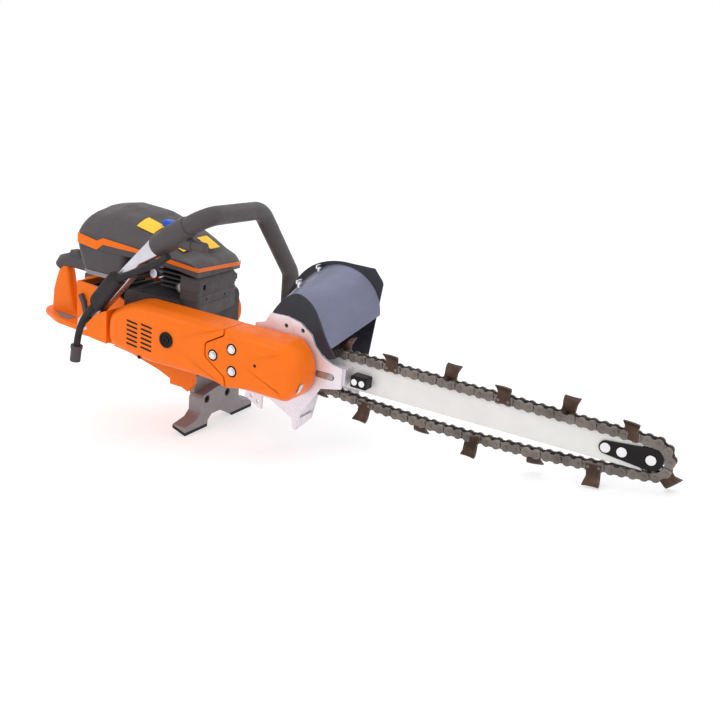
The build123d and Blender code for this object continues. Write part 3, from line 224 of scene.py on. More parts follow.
def soften(node, width, angle=32.0, segments=2):
    """Round the edges of a CAD node with modifiers, leaving its own mesh alone."""
    obj = nodes[node]
    with bpy.context.temp_override(object=obj, active_object=obj, selected_objects=[obj]):
        bpy.ops.mesh.customdata_custom_splitnormals_clear()
    for face in obj.data.polygons:
        face.use_smooth = True
    weld = obj.modifiers.new("weld", "WELD")
    weld.merge_threshold = WELD_REACH
    flat = obj.modifiers.new("flat", "DECIMATE")
    flat.decimate_type = "DISSOLVE"
    flat.angle_limit = radians(1.0)
    bevel = obj.modifiers.new("bevel", "BEVEL")
    bevel.limit_method = "ANGLE"
    bevel.angle_limit = radians(angle)
    bevel.width = width * MM
    bevel.segments = segments
    bevel.use_clamp_overlap = True
    normal = obj.modifiers.new("normal", "WEIGHTED_NORMAL")
    normal.keep_sharp = True


for name, obj in nodes.items():
    paint(obj, slot_of[name])
# The black chain shield is given blue-grey in place of black: a painted sheen over its black sheet.
paint(nodes["chain_shield"], "sheet_grey")
for name in nodes:
    soften(name, ROUNDING.get(name, COMMON_ROUND))


# ---------------------------------------------------------------- building new pieces
LARGEST_FACE = 8
SHARP_EDGE = radians(34)


def linked(name, data):
    """A new object in the scene for some data."""
    obj = bpy.data.objects.new(name, data)
    bpy.context.scene.collection.objects.link(obj)
    return obj


def circle(sides, phase=0.0):
    """Cosine and sine of evenly spaced turns."""
    turns = [phase + 2 * pi * i / sides for i in range(sides)]
    return [(cos(turn), sin(turn)) for turn in turns]


def piece(name, points, faces):
    """A mesh from machine points, not yet given to a body."""
    mesh = bpy.data.meshes.new(name)
    mesh.from_pydata([at(*point) for point in points], [], faces)
    form = bmesh.new()
    form.from_mesh(mesh)
    bmesh.ops.recalc_face_normals(form, faces=form.faces)
    large = [face for face in form.faces if len(face.verts) > LARGEST_FACE]
    bmesh.ops.triangulate(form, faces=large, ngon_method="EAR_CLIP")
    form.to_mesh(mesh)
    form.free()
    return linked(name, mesh)


def lofted(name, rings):
    """A closed skin through rings of points, with flat ends."""
    count = len(rings[0])
    points = [point for ring in rings for point in ring]
    faces = [tuple(range(count)), tuple(range(len(points) - count, len(points)))]
    for row in range(len(rings) - 1):
        for i in range(count):
            j = (i + 1) % count
            low = row * count
            faces.append((low + i, low + j, low + count + j, low + count + i))
    return piece(name, points, faces)


def carve(obj, *cutters):
    """Cut closed shapes, which don't touch each other, out of a piece."""
    form = bmesh.new()
    for cutter in cutters:
        form.from_mesh(cutter.data)
    form.to_mesh(cutters[0].data)
    form.free()
    cut = obj.modifiers.new("cut", "BOOLEAN")
    cut.object = cutters[0]
    cut.solver = "MANIFOLD"
    shape = obj.evaluated_get(bpy.context.evaluated_depsgraph_get())
    mesh = bpy.data.meshes.new_from_object(shape)
    obj.modifiers.clear()
    obj.data = mesh
    for cutter in cutters:
        bpy.data.objects.remove(cutter)


def settle(obj, body, finish, *stands_for, bevel=0.0, angle=35.0):
    """Shade a new piece, give it its finish and fix it to a CAD body."""
    form = bmesh.new()
    form.from_mesh(obj.data)
    for face in form.faces:
        face.smooth = True
    for edge in form.edges:
        if len(edge.link_faces) == 2 and edge.calc_face_angle(0.0) > SHARP_EDGE:
            edge.smooth = False
    form.to_mesh(obj.data)
    form.free()
    if bevel:
        rounded = obj.modifiers.new("bevel", "BEVEL")
        rounded.limit_method = "ANGLE"
        rounded.angle_limit = radians(angle)
        rounded.width = bevel * MM
        rounded.segments = 3
    normal = obj.modifiers.new("normal", "WEIGHTED_NORMAL")
    normal.keep_sharp = True
    paint(obj, finish)
    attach(obj, body)
    if stands_for:
        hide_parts(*stands_for)
    return obj


def rounded_path(points, radius, steps=5):
    """A closed outline with every corner turned on an arc; a point may carry its own radius."""
    path = []
    count = len(points)
    for i, point in enumerate(points):
        here = Vector(point[:2])
        turn = point[2] if len(point) > 2 else radius
        if turn == 0:
            path.append(here)
            continue
        before = Vector(points[i - 1][:2])
        after = Vector(points[(i + 1) % count][:2])
        back, ahead = before - here, after - here
        reach = min(turn, 0.45 * back.length, 0.45 * ahead.length)
        start, end = here + back.normalized() * reach, here + ahead.normalized() * reach
        for step in range(steps + 1):
            t = step / steps
            path.append((1 - t) ** 2 * start + 2 * t * (1 - t) * here + t * t * end)
    return path


def drawn_in(path, amount):
    """The path moved inwards; each point may be moved by its own amount."""
    area = sum(a.x * b.y - b.x * a.y for a, b in zip(path, path[1:] + path[:1]))
    way = 1 if area > 0 else -1
    moved = []
    for i, here in enumerate(path):
        along = (path[(i + 1) % len(path)] - path[i - 1]).normalized()
        moved.append(here + Vector((-along.y, along.x)) * way * amount[i])
    return moved


def turned(name, x, z, profile, sides=32, phase=0.0):
    """A closed turned piece across the machine, from (radius, y) pairs."""
    turns = circle(sides, phase)
    return lofted(name, [[(x + radius * c, y, z + radius * s) for c, s in turns] for radius, y in profile])


def gathered(name, parts):
    """Several new pieces as one mesh."""
    form = bmesh.new()
    for part in parts:
        form.from_mesh(part.data)
        bpy.data.objects.remove(part)
    mesh = bpy.data.meshes.new(name)
    form.to_mesh(mesh)
    form.free()
    return linked(name, mesh)


def slot_bar(name, x, z, length, height, near, far, slope=0.0):
    """A slot-shaped bar across the machine, sloping along its length."""
    ring = []
    for c, s in circle(16):
        half = (length - height) / 2 * (1 if c > 0 else -1)
        ring.append((half + height / 2 * c, height / 2 * s + slope * half))
    return lofted(name, [[(x + px, y, z + pz) for px, pz in ring] for y in (near, far)])


# ---------------------------------------------------------------- belt covers
LABEL_THICKNESS = 0.0005
FACE_Y = -133.0
RIM_Y = -89.0
COVER_ROUND = (
    (0.0, RIM_Y), (0.4, -116.0), (1.4, -122.0), (3.2, -126.6), (6.0, -130.2), (9.6, -132.3), (14.0, FACE_Y),
    (15.2, FACE_Y),
)
FACE_MIDDLE_Z = 2
FACE_END = 0.02
SEAM_FADE = 34
SEAM_LEAST = 0.05
SEAM = [(-65, -39, 1), (-68, -25, 3), (-101, -4, 4), (-101, 15, 4), (-71, 32, 3), (-71, 41, 1)]


def cover_skin(name, path, seam_share, middle_x):
    """A belt cover: its edges are well rounded, but sharp along the seam."""
    rings = []
    for inset, y in COVER_ROUND:
        shift = [inset * share for share in seam_share]
        rings.append([(p.x, y, p.y) for p in drawn_in(path, shift)])
    middle = Vector((middle_x, FACE_Y, FACE_MIDDLE_Z))
    rings.append([tuple(middle.lerp(Vector(point), FACE_END)) for point in rings[-1]])
    return lofted(name, rings)


def seam_weights(path, seam_points):
    """How much of the round each point takes: all of it away from the seam, almost none on it."""
    weights = []
    for point in path:
        nearest = 1e9
        for a, b in zip(seam_points, seam_points[1:]):
            a, b = Vector(a[:2]), Vector(b[:2])
            share = max(0.0, min(1.0, (point - a).dot(b - a) / (b - a).length_squared))
            nearest = min(nearest, (point - a.lerp(b, share)).length)
        weights.append(max(SEAM_LEAST, min(1.0, nearest / SEAM_FADE)))
    return weights


def dense(path, reach=4.0):
    """The closed path with long straights divided."""
    full = []
    for a, b in zip(path, path[1:] + path[:1]):
        parts = max(1, int((b - a).length / reach))
        full += [a + (b - a) * (i / parts) for i in range(parts)]
    return full


NOSE_RADIUS = 46.0
BOTTOM_Z, TOP_Z = -39.0, 41.0
SEAM_GAP = 1.2
front_outline = [(x + SEAM_GAP, z, r) for x, z, r in SEAM]
nose_arc = []
for i in range(33):
    turn = pi / 2 - pi * i / 32
    nose_arc.append((NOSE_RADIUS * cos(turn), max(BOTTOM_Z, min(TOP_Z, NOSE_RADIUS * sin(turn))), 0))
front_path = dense(rounded_path(front_outline + nose_arc, 3))
front_skin = cover_skin("front_cover_skin", front_path, seam_weights(front_path, front_outline), -48)
settle(front_skin, "machine", "orange_plastic", "belt_cover_front")

rear_outline = [(-279, -31, 18), (-209, -41, 18), (-150, -39.4, 18)] + SEAM + [(-237, 41, 18), (-279, 18, 18)]
rear_path = dense(rounded_path(rear_outline, 6))
rear_skin = cover_skin("rear_cover_skin", rear_path, seam_weights(rear_path, SEAM), -170)
settle(rear_skin, "machine", "orange_plastic", "belt_cover_rear")

# The vents and the small hole near the front end are not cut: dark inlays just proud of the face stand there,
# painted shade in place of the openings.
vent_shades = [turned("bare_hole", -19, 3, ((2.2, -131.0), (2.2, -133.2), (0.1, -133.2)), 24)]
for column_x in (-229.0, -203.0):
    for row in range(6):
        vent_z = 14 - 6.6 * row
        vent_shades.append(slot_bar("vent", column_x, vent_z, 20, 3.0, FACE_Y - 0.2, FACE_Y + 3, -0.12))
vent_shade_piece = settle(gathered("cover_vents", vent_shades), "machine", "black_oxide", bevel=0.05)

# Dark discs round the three cover nuts: painted shade standing for the recesses the nuts sit in.
RECESS_SHADE = ((7.9, -131.0), (7.9, -133.3), (0.1, -133.3))
WASHER = ((5.8, -133.0), (5.8, -133.7), (5.3, -134.1), (2.0, -134.1))
HEXAGON = ((5.0, -133.9), (5.0, -135.5), (4.4, -136.1), (2.8, -136.1))
DOME = ((3.1, -134.0), (3.1, -136.3), (2.6, -136.7), (1.4, -136.9), (0.1, -137.0))
recess_shades, nuts = [], []
for x, z in ((-87, 1), (-57, 16), (-55, -14)):
    recess_shades.append(turned("cup", x, z, RECESS_SHADE, 40))
    nuts.append(turned("washer", x, z, WASHER, 36))
    nuts.append(turned("hexagon", x, z, HEXAGON, 6, 0.3))
    nuts.append(turned("dome", x, z, DOME, 24))
recess_shade_piece = settle(gathered("nut_cups", recess_shades), "machine", "black_oxide", bevel=0.2)
settle(gathered("domed_nuts", nuts), "machine", "bright_screw", "cover_nuts", bevel=0.25)

CAP = ((11.0, -131.4), (11.2, -134.6), (10.4, -135.4), (8.2, -135.4), (7.6, -134.0), (5.4, -133.8), (5.0, -135.0),
       (3.4, -135.0), (3.0, -133.6), (0.1, -133.6))
settle(turned("clutch_cap", -167, 3, CAP, 44), "machine", "black_oxide", "cover_cap", bevel=0.25)
SCREW = ((2.9, -126.0), (2.9, -131.2), (2.2, -131.6), (1.2, -130.6), (0.1, -130.6))
screw = settle(turned("drain_screw", -217, -34.5, SCREW, 20), "machine", "black_oxide")

PLATE_RADIUS = NOSE_RADIUS + 0.4
plate_points, plate_faces = [], []
for i in range(7):
    turn = radians(-30 + 18 * i / 6)
    for y in (-122.0, -114.0):
        plate_points.append((PLATE_RADIUS * cos(turn), y, PLATE_RADIUS * sin(turn)))
for i in range(6):
    plate_faces.append((2 * i, 2 * i + 1, 2 * i + 3, 2 * i + 2))
small_plate = piece("bare_plate", plate_points, plate_faces)
small_plate.modifiers.new("thick", "SOLIDIFY").thickness = LABEL_THICKNESS
settle(small_plate, "machine", "bright_aluminium")


# ---------------------------------------------------------------- engine top cover
def ramp(value, keys):
    """Straight-line interpolation between (place, value) keys."""
    for (a, p), (b, q) in zip(keys, keys[1:]):
        if value <= b:
            return p + (q - p) * max(0.0, (value - a) / (b - a))
    return keys[-1][1]


CREST = (
    (-404, 123), (-398, 133), (-386, 140.5), (-354, 146), (-298, 143), (-249, 130), (-216, 117), (-190, 104), (-150, 93),
)
NEAR_WALL = ((-404, 104), (-392, 106), (-335, 108), (-273, 104), (-172, 98), (-150, 96))
RISE = ((-75, 0.0), (-66, 0.34), (-52, 0.66), (-36, 0.84), (-8, 0.96), (25, 1.0), (40, 0.9), (50, 0.66), (58, 0.3))
PLAN_NEAR = ((-404, -50), (-401, -62), (-396, -70), (-388, -75), (-150, -75))
PLAN_FAR = ((-404, 30), (-399, 44), (-392, 54), (-380, 58), (-150, 58))


def cover_height(x, y):
    """Height of the top cover over a place of its plan."""
    crest, wall = ramp(x, CREST), ramp(x, NEAR_WALL)
    return wall + (crest - wall) * ramp(y, RISE)


def front_lean(y):
    """How far the cover's front end falls back towards the starter side."""
    return -164 - 17 * (y + 75) / 133 - 9 * max(0.0, (y - 34) / 24) ** 2


def spine(x, y):
    """Height of the low rib along the middle of the cover."""
    off = (y - 2) / 26
    return 1.6 * (1 - off**2) ** 0.5 if -392 < x < -286 and abs(off) < 1 else 0.0


REAR_X = -404
ROWS = 40
ACROSS_SHARES = (0.0, 0.02, 0.05, 0.09, 0.14, 0.2, 0.28, 0.38, 0.48, 0.58, 0.67, 0.76, 0.83, 0.89, 0.94, 0.975, 1.0)
rings = []
for row in range(ROWS + 1):
    share = row / ROWS
    base_x = REAR_X + 242 * share
    near, far = ramp(base_x, PLAN_NEAR), ramp(base_x, PLAN_FAR)
    front_drop = 7.0 * (1 - min(1.0, (1 - share) * 16)) ** 2
    droop = max(0.0, (share - 0.6) / 0.4) ** 2
    lower = 86 - 6 * max(0.0, (share - 0.8) / 0.2)
    ring = []
    for y_share in ACROSS_SHARES:
        y = near + (far - near) * y_share
        x = REAR_X + (front_lean(y) - REAR_X) * share
        z = cover_height(base_x, -75 + 133 * y_share) - 11 * y_share * droop
        ring.append((x, y, z + spine(base_x, y) - front_drop))
    near_foot = (REAR_X + (front_lean(near) - REAR_X) * share, near, lower)
    far_foot = (REAR_X + (front_lean(far) - REAR_X) * share, far, lower - 10 * droop)
    rings.append([near_foot] + ring + [far_foot])
hood = lofted("top_cover_shell", rings)
button_well = piece(
    "cut_button",
    [(x, y, z) for z in (90, 160) for x, y in ((-273, -33), (-237, -33), (-237, -13), (-273, -13))],
    [(0, 1, 2, 3), (4, 5, 6, 7), (0, 1, 5, 4), (1, 2, 6, 5), (2, 3, 7, 6), (3, 0, 4, 7)],
)
carve(hood, button_well)
settle(hood, "machine", "dark_plastic", "top_cover", bevel=1.6, angle=24)


def ribbon(name, line, width, lift, side_step):
    """A raised strip laid along a line of points."""
    points, faces = [], []
    dx, dy = side_step
    for x, y, z in line:
        for high in (-width / 2, width / 2):
            for out in (0.0, lift):
                points.append((x + dx * out, y + dy * out, z + high))
    for i in range(len(line) - 1):
        a, b = 4 * i, 4 * (i + 1)
        faces += [(a, a + 2, b + 2, b), (a + 1, a + 3, b + 3, b + 1)]
        faces += [(a, a + 1, b + 1, b), (a + 2, a + 3, b + 3, b + 2)]
    last = 4 * (len(line) - 1)
    faces += [(0, 1, 3, 2), (last, last + 1, last + 3, last + 2)]
    return piece(name, points, faces)


STRIPE = ((-392, 105, 90), (-354, 99, 85.5), (-341, 105, 95), (-273, 101, 95), (-222, 98, 92), (-163, 93.6, 88.4))


def stripe_band(name, line, inner_y, outer_y):
    """The stripe on the cover's side: a band whose upper and lower edges are given."""
    points, faces = [], []
    for x, high, low in line:
        points += [(x, inner_y, high), (x, outer_y, high), (x, outer_y, low), (x, inner_y, low)]
    for i in range(len(line) - 1):
        a = 4 * i
        faces += [(a + k, a + (k + 1) % 4, a + 4 + (k + 1) % 4, a + 4 + k) for k in range(4)]
    last = 4 * (len(line) - 1)
    faces += [(0, 1, 2, 3), (last, last + 1, last + 2, last + 3)]
    return piece(name, points, faces)


stripe_side = stripe_band("stripe_side", STRIPE, -74.4, -75.8)
front_line = [(front_lean(y) - 0.4, y, 91 - 10 * (y + 75) / 133) for y in (-75.4, -40, 0, 34, 40, 46, 52, 57)]
stripe_front = ribbon("stripe_front", front_line, 5.2, 1.3, (1, -0.1))
settle(stripe_side, "machine", "orange_plastic", "cover_stripe", bevel=0.3)
settle(stripe_front, "machine", "orange_plastic", "cover_stripe", bevel=0.3)


LABEL_LIFT = 0.7
LABEL_CELLS = 6


def patch(name, xs, ys, finish):
    """A thin bare label following the cover's surface."""
    points, faces = [], []
    for i in range(LABEL_CELLS + 1):
        for j in range(LABEL_CELLS + 1):
            x = xs[0] + (xs[1] - xs[0]) * i / LABEL_CELLS
            y = ys[0] + (ys[1] - ys[0]) * j / LABEL_CELLS
            points.append((x, y, cover_height(x, y) + LABEL_LIFT))
    for i in range(LABEL_CELLS):
        for j in range(LABEL_CELLS):
            a = i * (LABEL_CELLS + 1) + j
            faces.append((a, a + 1, a + LABEL_CELLS + 2, a + LABEL_CELLS + 1))
    obj = piece(name, points, faces)
    obj.modifiers.new("thick", "SOLIDIFY").thickness = LABEL_THICKNESS
    settle(obj, "machine", finish)


patch("label_rear", (-296, -264), (-54, -28), "yellow_label")
patch("label_near", (-232, -206), (-56, -34), "yellow_label")
patch("label_far", (-222, -196), (-8, 14), "yellow_label")


# ---------------------------------------------------------------- filter body, tray and tank deck
def box_rings(levels, corner=12):
    """Rounded rectangles in plan at several heights: (z, back x, front x, near y, far y)."""
    rings = []
    for z, back_x, front_x, near_y, far_y in levels:
        path = rounded_path([(back_x, near_y), (front_x, near_y), (front_x, far_y), (back_x, far_y)], corner, 6)
        rings.append([(q.x, q.y, z) for q in path])
    return rings


filter_body = lofted("filter_body", box_rings((
    (50.6, -388, -306, -69, 50), (56, -390, -304, -71, 52), (70, -393, -302, -73, 54), (82, -396, -300, -74, 55),
    (88, -398, -299, -73.6, 55))))
settle(filter_body, "machine", "dark_plastic", "filter_housing", bevel=0.8)
tray_edge = lofted("tray_edge", box_rings((
    (42.5, -384, -310, -66, 48), (43.5, -387, -307, -69, 50), (49.4, -389, -305, -70.5, 51.5),
    (50.4, -388, -306, -69.5, 50.5))))
settle(tray_edge, "machine", "cast_aluminium", "filter_tray", bevel=0.5)
DECK = ((8, -403, -300, -55, 57), (13, -403, -300, -55, 57), (14, -402, -301, -54, 56))
deck_parts = [lofted("deck", box_rings(DECK, 4))]
for rib in range(5):
    x = -392 + 18 * rib
    deck_parts.append(lofted("rib", box_rings(((13, x, x + 6, -50, 50), (22, x + 1, x + 5, -48, 48)), 2)))
tank_deck = settle(gathered("tank_deck", deck_parts), "machine", "black_rubber", bevel=0.5)

# ---------------------------------------------------------------- decompression button
button = lofted("blue_button", box_rings((
    (119, -271, -239, -31, -15), (136, -271, -239, -31, -15), (139, -269.5, -240.5, -30, -16),
    (140, -267, -243, -28, -18)), 6))
settle(button, "decompressor", "blue_plastic", "decompression_valve", bevel=0.5)

# ---------------------------------------------------------------- muffler and its guard
muffler_body = lofted("muffler_can", box_rings((
    (22, -194, -184, -48, 8), (25, -197, -183, -52, 12), (64, -197, -183, -52, 12), (68, -194, -184, -48, 8)), 5))
OUTLET = ((6.0, -30), (6.4, -50), (7.2, -62), (6.2, -63), (5.4, -61), (0.1, -61))
outlet = turned("outlet", -206, 56, OUTLET, 28)
settle(gathered("muffler_shell", [muffler_body, outlet]), "machine", "steel", "muffler", bevel=0.6)


def bore_ahead(y, z, radius, rear_x, front_x):
    """A round cutter running along the machine."""
    turns = circle(28)
    return lofted("cut_bore", [[(x, y + radius * c, z + radius * s) for c, s in turns] for x in (rear_x, front_x)])


GUARD = [(-204, -60, 4), (-198, -73, 8), (-176, -75, 8), (-167, -67, 7), (-185, 46, 8), (-204, 48, 4)]
GUARD_LEVELS = (
    (13, 4.0), (17, 1.2), (30, 0.0), (36, 0.0), (37, 1.2), (43, 1.2), (44, 0.0), (50, 0.0), (51, 1.2), (57, 1.2),
    (58, 0.0), (66, 0.0), (73, 1.0), (77, 4.0),
)
guard_path = rounded_path(GUARD, 6, 6)
guard_rings = []
for level, inset in GUARD_LEVELS:
    ring = drawn_in(guard_path, [inset if q.x > -200 else 0.3 for q in guard_path])
    tilt = (level - 13) / 64
    guard_rings.append([(q.x, q.y, level - 7 * tilt * (q.y + 64) / 110) for q in ring])
guard = lofted("muffler_guard_shell", guard_rings)
carve(
    guard,
    bore_ahead(-52, 62, 4.4, -182, -150),
    bore_ahead(-44, 43, 2.2, -182, -150),
    bore_ahead(10, 40, 2.2, -190, -150),
)
settle(guard, "machine", "dark_plastic", "muffler_guard", bevel=0.3)

# ---------------------------------------------------------------- rear handle and grip
POST = (
    (-54, -519, -458), (-44, -518.5, -467), (-19, -516.5, -474), (0, -511, -478), (14, -506, -480), (26, -502, -484),
)
post_rings = []
for row, (z, back_x, front_x) in enumerate(POST):
    wide = 11.5 - 0.6 * row
    path = rounded_path([(back_x, -wide), (front_x, -wide), (front_x, wide), (back_x, wide)], 8, 6)
    post_rings.append([(q.x, q.y, z) for q in path])
post = lofted("rear_post", post_rings)
FOOTPRINT = [(-409, -52), (-470, -46), (-522, -22, 14), (-536, 0, 12), (-522, 22, 14), (-470, 46), (-409, 52)]
tray_path = rounded_path(FOOTPRINT, 8, 6)
tray_rings = []
for inset, z in ((3.0, -60.5), (0.8, -59), (0.0, -56), (0.8, -52.6), (2.6, -51.6)):
    moved = drawn_in(tray_path, [inset] * len(tray_path))
    tray_rings.append([(q.x, q.y, z) for q in moved])
base_tray = lofted("rear_base", tray_rings)
WALL = ((-52, -424, -409.3, -40, 40), (20, -418, -409.3, -40, 40), (25, -416, -409.3, -38, 38))
casting = gathered("rear_handle_casting", [post, base_tray, lofted("back_wall", box_rings(WALL, 3))])
settle(casting, "machine", "orange_plastic", "rear_handle", bevel=0.6)
LABEL = ((-504, -16), (-470, -38), (-452, -38), (-452, -18), (-494, -16.5))
label = piece("bare_rear_label", [(x, y, -51.2) for x, y in LABEL], [(0, 1, 2, 3, 4)])
label.modifiers.new("thick", "SOLIDIFY").thickness = 0.0004
settle(label, "machine", "cast_aluminium")

GRIP_LINE = (
    (-504, 22, 11, 11.7), (-498, 30, 12, 11.7), (-486, 34, 12, 11.7), (-470, 34, 11, 11.7), (-450, 33, 10.5, 11.7),
    (-430, 34, 10.5, 12.1), (-414, 37, 12, 13.3), (-400, 41, 13, 14.8),
)
grip_rings = []
for i, (x, z, high, wide) in enumerate(GRIP_LINE):
    ahead = GRIP_LINE[min(i + 1, len(GRIP_LINE) - 1)]
    behind = GRIP_LINE[max(i - 1, 0)]
    lean = atan((ahead[1] - behind[1]) / max(1.0, ahead[0] - behind[0]))
    ring = []
    for c, s in circle(24):
        up = high * s
        ring.append((x - up * sin(lean), wide * c, z + up * cos(lean)))
    grip_rings.append(ring)
settle(lofted("rear_grip_body", grip_rings), "machine", "dark_plastic", "rear_grip", bevel=0.4)

# ---------------------------------------------------------------- handle sleeve, starter, adjuster
START, CLIMB = Vector((-197, -113, 128)), Vector((69, 0, 48)).normalized()
OVER = CLIMB.cross(ACROSS)
SLEEVE = ((-10, 14.2), (-8, 15.6), (0, 16.4), (18, 16.8), (38, 16.4), (52, 15.4), (55, 14.6), (55.5, 13.4))
sleeve_rings = []
for reach, radius in SLEEVE:
    centre = START + CLIMB * reach
    sleeve_rings.append([tuple(centre + (ACROSS * c + OVER * s) * radius) for c, s in circle(36)])
sleeve = lofted("handle_sleeve_moulding", sleeve_rings)
tap_rings = []
for x, radius in ((-166, 7.5), (-158, 8.6), (-150, 8.6), (-144, 7.6), (-143.2, 6.4)):
    tap_rings.append([(x, -113 + radius * c, 136 + radius * s) for c, s in circle(24)])
tap_body = lofted("tap_body", tap_rings)
saddle = lofted("tap_saddle", box_rings(((132, -168, -152, -120, -106), (150, -172, -148, -122, -104)), 3))
sleeve_body = gathered("handle_sleeve_body", [sleeve, tap_body, saddle])
settle(sleeve_body, "machine", "dark_plastic", "handle_sleeve", bevel=0.5)
starter = turned("starter_shell", -226, 0, ((35.0, 55.0), (35.6, 66.0), (34.6, 70.0), (31.0, 73.4), (26.0, 74.0),
                                            (24.0, 72.4), (16.0, 72.4), (14.0, 74.6), (8.0, 74.8), (0.1, 74.8)), 56)
settle(starter, "machine", "orange_plastic", "starter_cover", bevel=0.4)

slider_path = rounded_path([(44, -7), (70, -7), (70, 1), (44, 1)], 1.5, 4)
slider = lofted("adjuster_slider", [[(x, y, z) for x, z in slider_path] for y in (-80.2, -83.6)])
settle(slider, "machine", "steel", bevel=0.4)

# ---------------------------------------------------------------- cutters
CUTTER_PROFILE = ((7.6, -4.0), (7.6, 5.0), (9.2, 10.5), (12.4, 15.6), (16.2, 18.8), (17.8, 20.3))
CUTTER_BACK = ((16.0, 20.8), (11.6, 19.4), (7.6, 15.6), (5.2, 10.4), (4.2, 5.0), (4.2, -4.0))


CAD_CUTTER_LENGTH = 0.020
LENGTH_SLACK = 0.0004
HALF_LENGTH = 10.0
STEPS = 8
CHAIN_Y = at(0, -58, 0).y


def loose_parts(form):
    """The separate solids of a mesh, each as a list of its corners."""
    seen, parts = set(), []
    for start in form.verts:
        if start.index in seen:
            continue
        group, queue = [], [start]
        seen.add(start.index)
        while queue:
            vert = queue.pop()
            group.append(vert)
            for edge in vert.link_edges:
                other = edge.other_vert(vert)
                if other.index not in seen:
                    seen.add(other.index)
                    queue.append(other)
        parts.append(group)
    return parts


def cutter_axes(group, to_row):
    """Root, run along the chain, way up and side of one CAD cutter, or None for another part."""
    long_edges = [
        e for v in group for e in v.link_edges if abs(e.calc_length() - CAD_CUTTER_LENGTH) < LENGTH_SLACK
    ]
    if not long_edges:
        return None
    first, second = long_edges[0].verts
    run = (to_row.to_3x3() @ (second.co - first.co)).normalized()
    places = [to_row @ v.co for v in group]
    centre = sum(places, Vector()) / len(places)
    near, far = min(place.y for place in places), max(place.y for place in places)
    side = 1 if abs(far - CHAIN_Y) > abs(near - CHAIN_Y) else -1
    up = run.cross(ACROSS).normalized()
    tip = max(places, key=lambda place: abs(place.y - CHAIN_Y))
    if (tip - centre).dot(up) < 0:
        up = -up
    ends = [(place - centre).dot(run) for place in places]
    heights = [(place - centre).dot(up) for place in places]
    root = centre + run * (max(ends) + min(ends)) / 2 + up * (min(heights) + 4.0 * MM)
    return Vector((root.x, CHAIN_Y, root.z)), run, up, side


def curled_cutters():
    """One curled and waisted cutter in place of each flat CAD cutter."""
    source = nodes["cutting_teeth"]
    link = bmesh.new()
    link.from_mesh(source.data)
    bmesh.ops.remove_doubles(link, verts=link.verts, dist=WELD_REACH)
    link.verts.ensure_lookup_table()
    outline = CUTTER_PROFILE + CUTTER_BACK
    count = len(outline)
    points, faces = [], []
    for group in loose_parts(link):
        axes = cutter_axes(group, source.matrix_world)
        if axes is None:
            continue
        root, run, up, side = axes
        first = len(points)
        for step in range(STEPS + 1):
            share = step / STEPS * 2 - 1
            for off, high in outline:
                waist = 1.0 - 0.26 * max(0.0, min(1.0, 1 - abs(high - 9) / 9))
                bow = 1.6 * (1 - share * share) * max(0.0, high - 6) / 15
                along = run * share * HALF_LENGTH * waist
                points.append(root + (along + ACROSS * side * (off - bow) + up * high) * MM)
        for step in range(STEPS):
            for i in range(count):
                j = (i + 1) % count
                low = first + step * count
                faces.append((low + i, low + j, low + count + j, low + count + i))
        faces.append(tuple(first + i for i in range(count)))
        faces.append(tuple(first + STEPS * count + i for i in range(count)))
    link.free()
    mesh = bpy.data.meshes.new("curled_cutters")
    mesh.from_pydata(points, [], faces)
    form = bmesh.new()
    form.from_mesh(mesh)
    bmesh.ops.recalc_face_normals(form, faces=form.faces)
    form.to_mesh(mesh)
    form.free()
    return linked("curled_cutters", mesh)


settle(curled_cutters(), "machine", "cutter_steel", "cutting_teeth", bevel=0.4)


# ---------------------------------------------------------------- water hose, free end
def hose_line(name, points, radius, body):
    """A round rubber hose on a smooth NURBS line."""
    curve = bpy.data.curves.new(name, "CURVE")
    curve.dimensions = "3D"
    spline = curve.splines.new("NURBS")
    spline.points.add(len(points) - 1)
    for place, point in zip(spline.points, points):
        place.co = (*point, 1.0)
    spline.order_u = 3
    spline.use_endpoint_u = True
    spline.resolution_u = 12
    curve.bevel_depth = radius * MM
    curve.bevel_resolution = 8
    curve.use_fill_caps = True
    obj = linked(name, curve)
    obj.data.materials.append(FINISHES["black_rubber"])
    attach(obj, body)
    return obj


HOSE_RADIUS = 5.0
HOSE_Y = -128.5
FREE_RUN = ((-306, 20), (-321, 3.5), (-331, -15), (-337, -33), (-339, -47))
free_points = [at(x, HOSE_Y, z) for x, z in FREE_RUN]
hose_end = hose_line("free_hose", free_points, HOSE_RADIUS, "machine")
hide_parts("hose_tail")


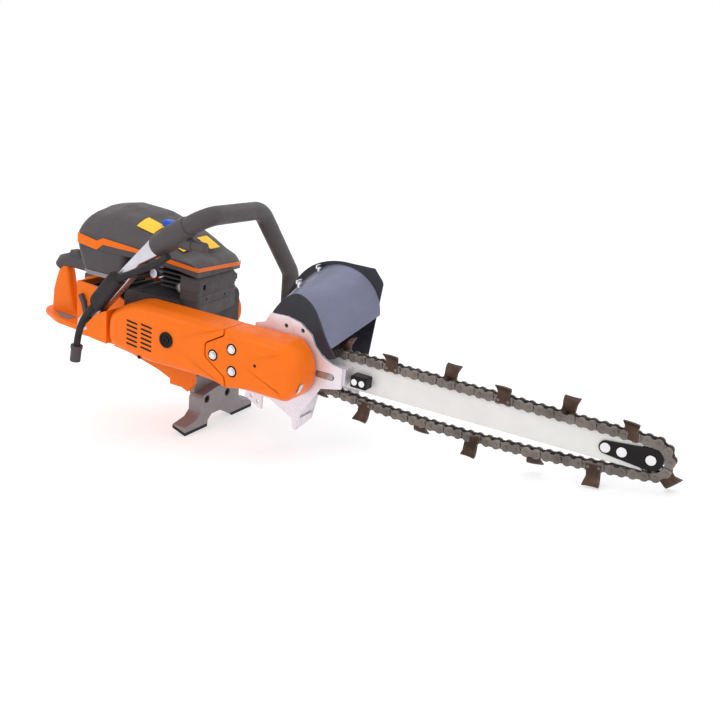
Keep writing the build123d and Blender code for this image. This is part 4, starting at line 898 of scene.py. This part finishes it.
# ---------------------------------------------------------------- floor, light and camera
FINISHES["floor"] = surface("floor", "C6C6C8", 0.7, grain=300, bump=0.0, blotch=0.004)
glow = FINISHES["floor"].node_tree.nodes["Principled BSDF"]
glow.inputs["Emission Color"].default_value = (1.0, 1.0, 1.0, 1.0)
glow.inputs["Emission Strength"].default_value = 0.48
floor_mesh = bpy.data.meshes.new("floor")
form = bmesh.new()
bmesh.ops.create_grid(form, x_segments=1, y_segments=1, size=12.0)
form.to_mesh(floor_mesh)
form.free()
floor = linked("floor", floor_mesh)
floor.data.materials.append(FINISHES["floor"])


def lamp(name, place, aim, power, size):
    """A soft rectangular lamp looking at a point."""
    data = bpy.data.lights.new(name, "AREA")
    data.energy = power
    data.shape = "RECTANGLE"
    data.size, data.size_y = size
    obj = linked(name, data)
    obj.location = place
    obj.rotation_mode = "QUATERNION"
    obj.rotation_quaternion = (Vector(aim) - Vector(place)).to_track_quat("-Z", "Y")


middle = (cad_box[0] + cad_box[1]) / 2
lamp("key", (-1.2, -2.2, 2.4), middle, 15, (1.6, 1.2))
lamp("front", (2.4, -1.2, 1.2), middle, 5, (1.4, 1.4))
lamp("top", (0.1, 0.2, 2.6), middle, 9, (2.4, 1.6))
lamp("back", (0.6, 2.4, 1.6), middle, 6, (1.8, 1.2))
world = bpy.data.worlds.new("studio")
world.use_nodes = True
sky = world.node_tree.nodes["Background"]
sky.inputs["Color"].default_value = (1.0, 1.0, 1.0, 1.0)
sky.inputs["Strength"].default_value = 1.0
bpy.context.scene.world = world
bpy.context.scene.view_settings.view_transform = "Standard"

CAMERA_PLACE = at(627.9, -1064.7, 401.3)
CAMERA_AZIMUTH = radians(30.54)
CAMERA_ELEVATION = radians(13.38)
CAMERA_ROLL = radians(-3.54)
CAMERA_LENS = 46.28
camera_data = bpy.data.cameras.new("camera")
camera_data.lens = CAMERA_LENS
camera_data.clip_start = 0.01
camera = linked("camera", camera_data)
level = cos(CAMERA_ELEVATION)
back = Vector((sin(CAMERA_AZIMUTH) * level, -cos(CAMERA_AZIMUTH) * level, sin(CAMERA_ELEVATION)))
camera.location = CAMERA_PLACE
camera.rotation_mode = "QUATERNION"
camera.rotation_quaternion = (-back).to_track_quat("-Z", "Y") @ Quaternion((0, 0, 1), CAMERA_ROLL)
bpy.context.scene.camera = camera
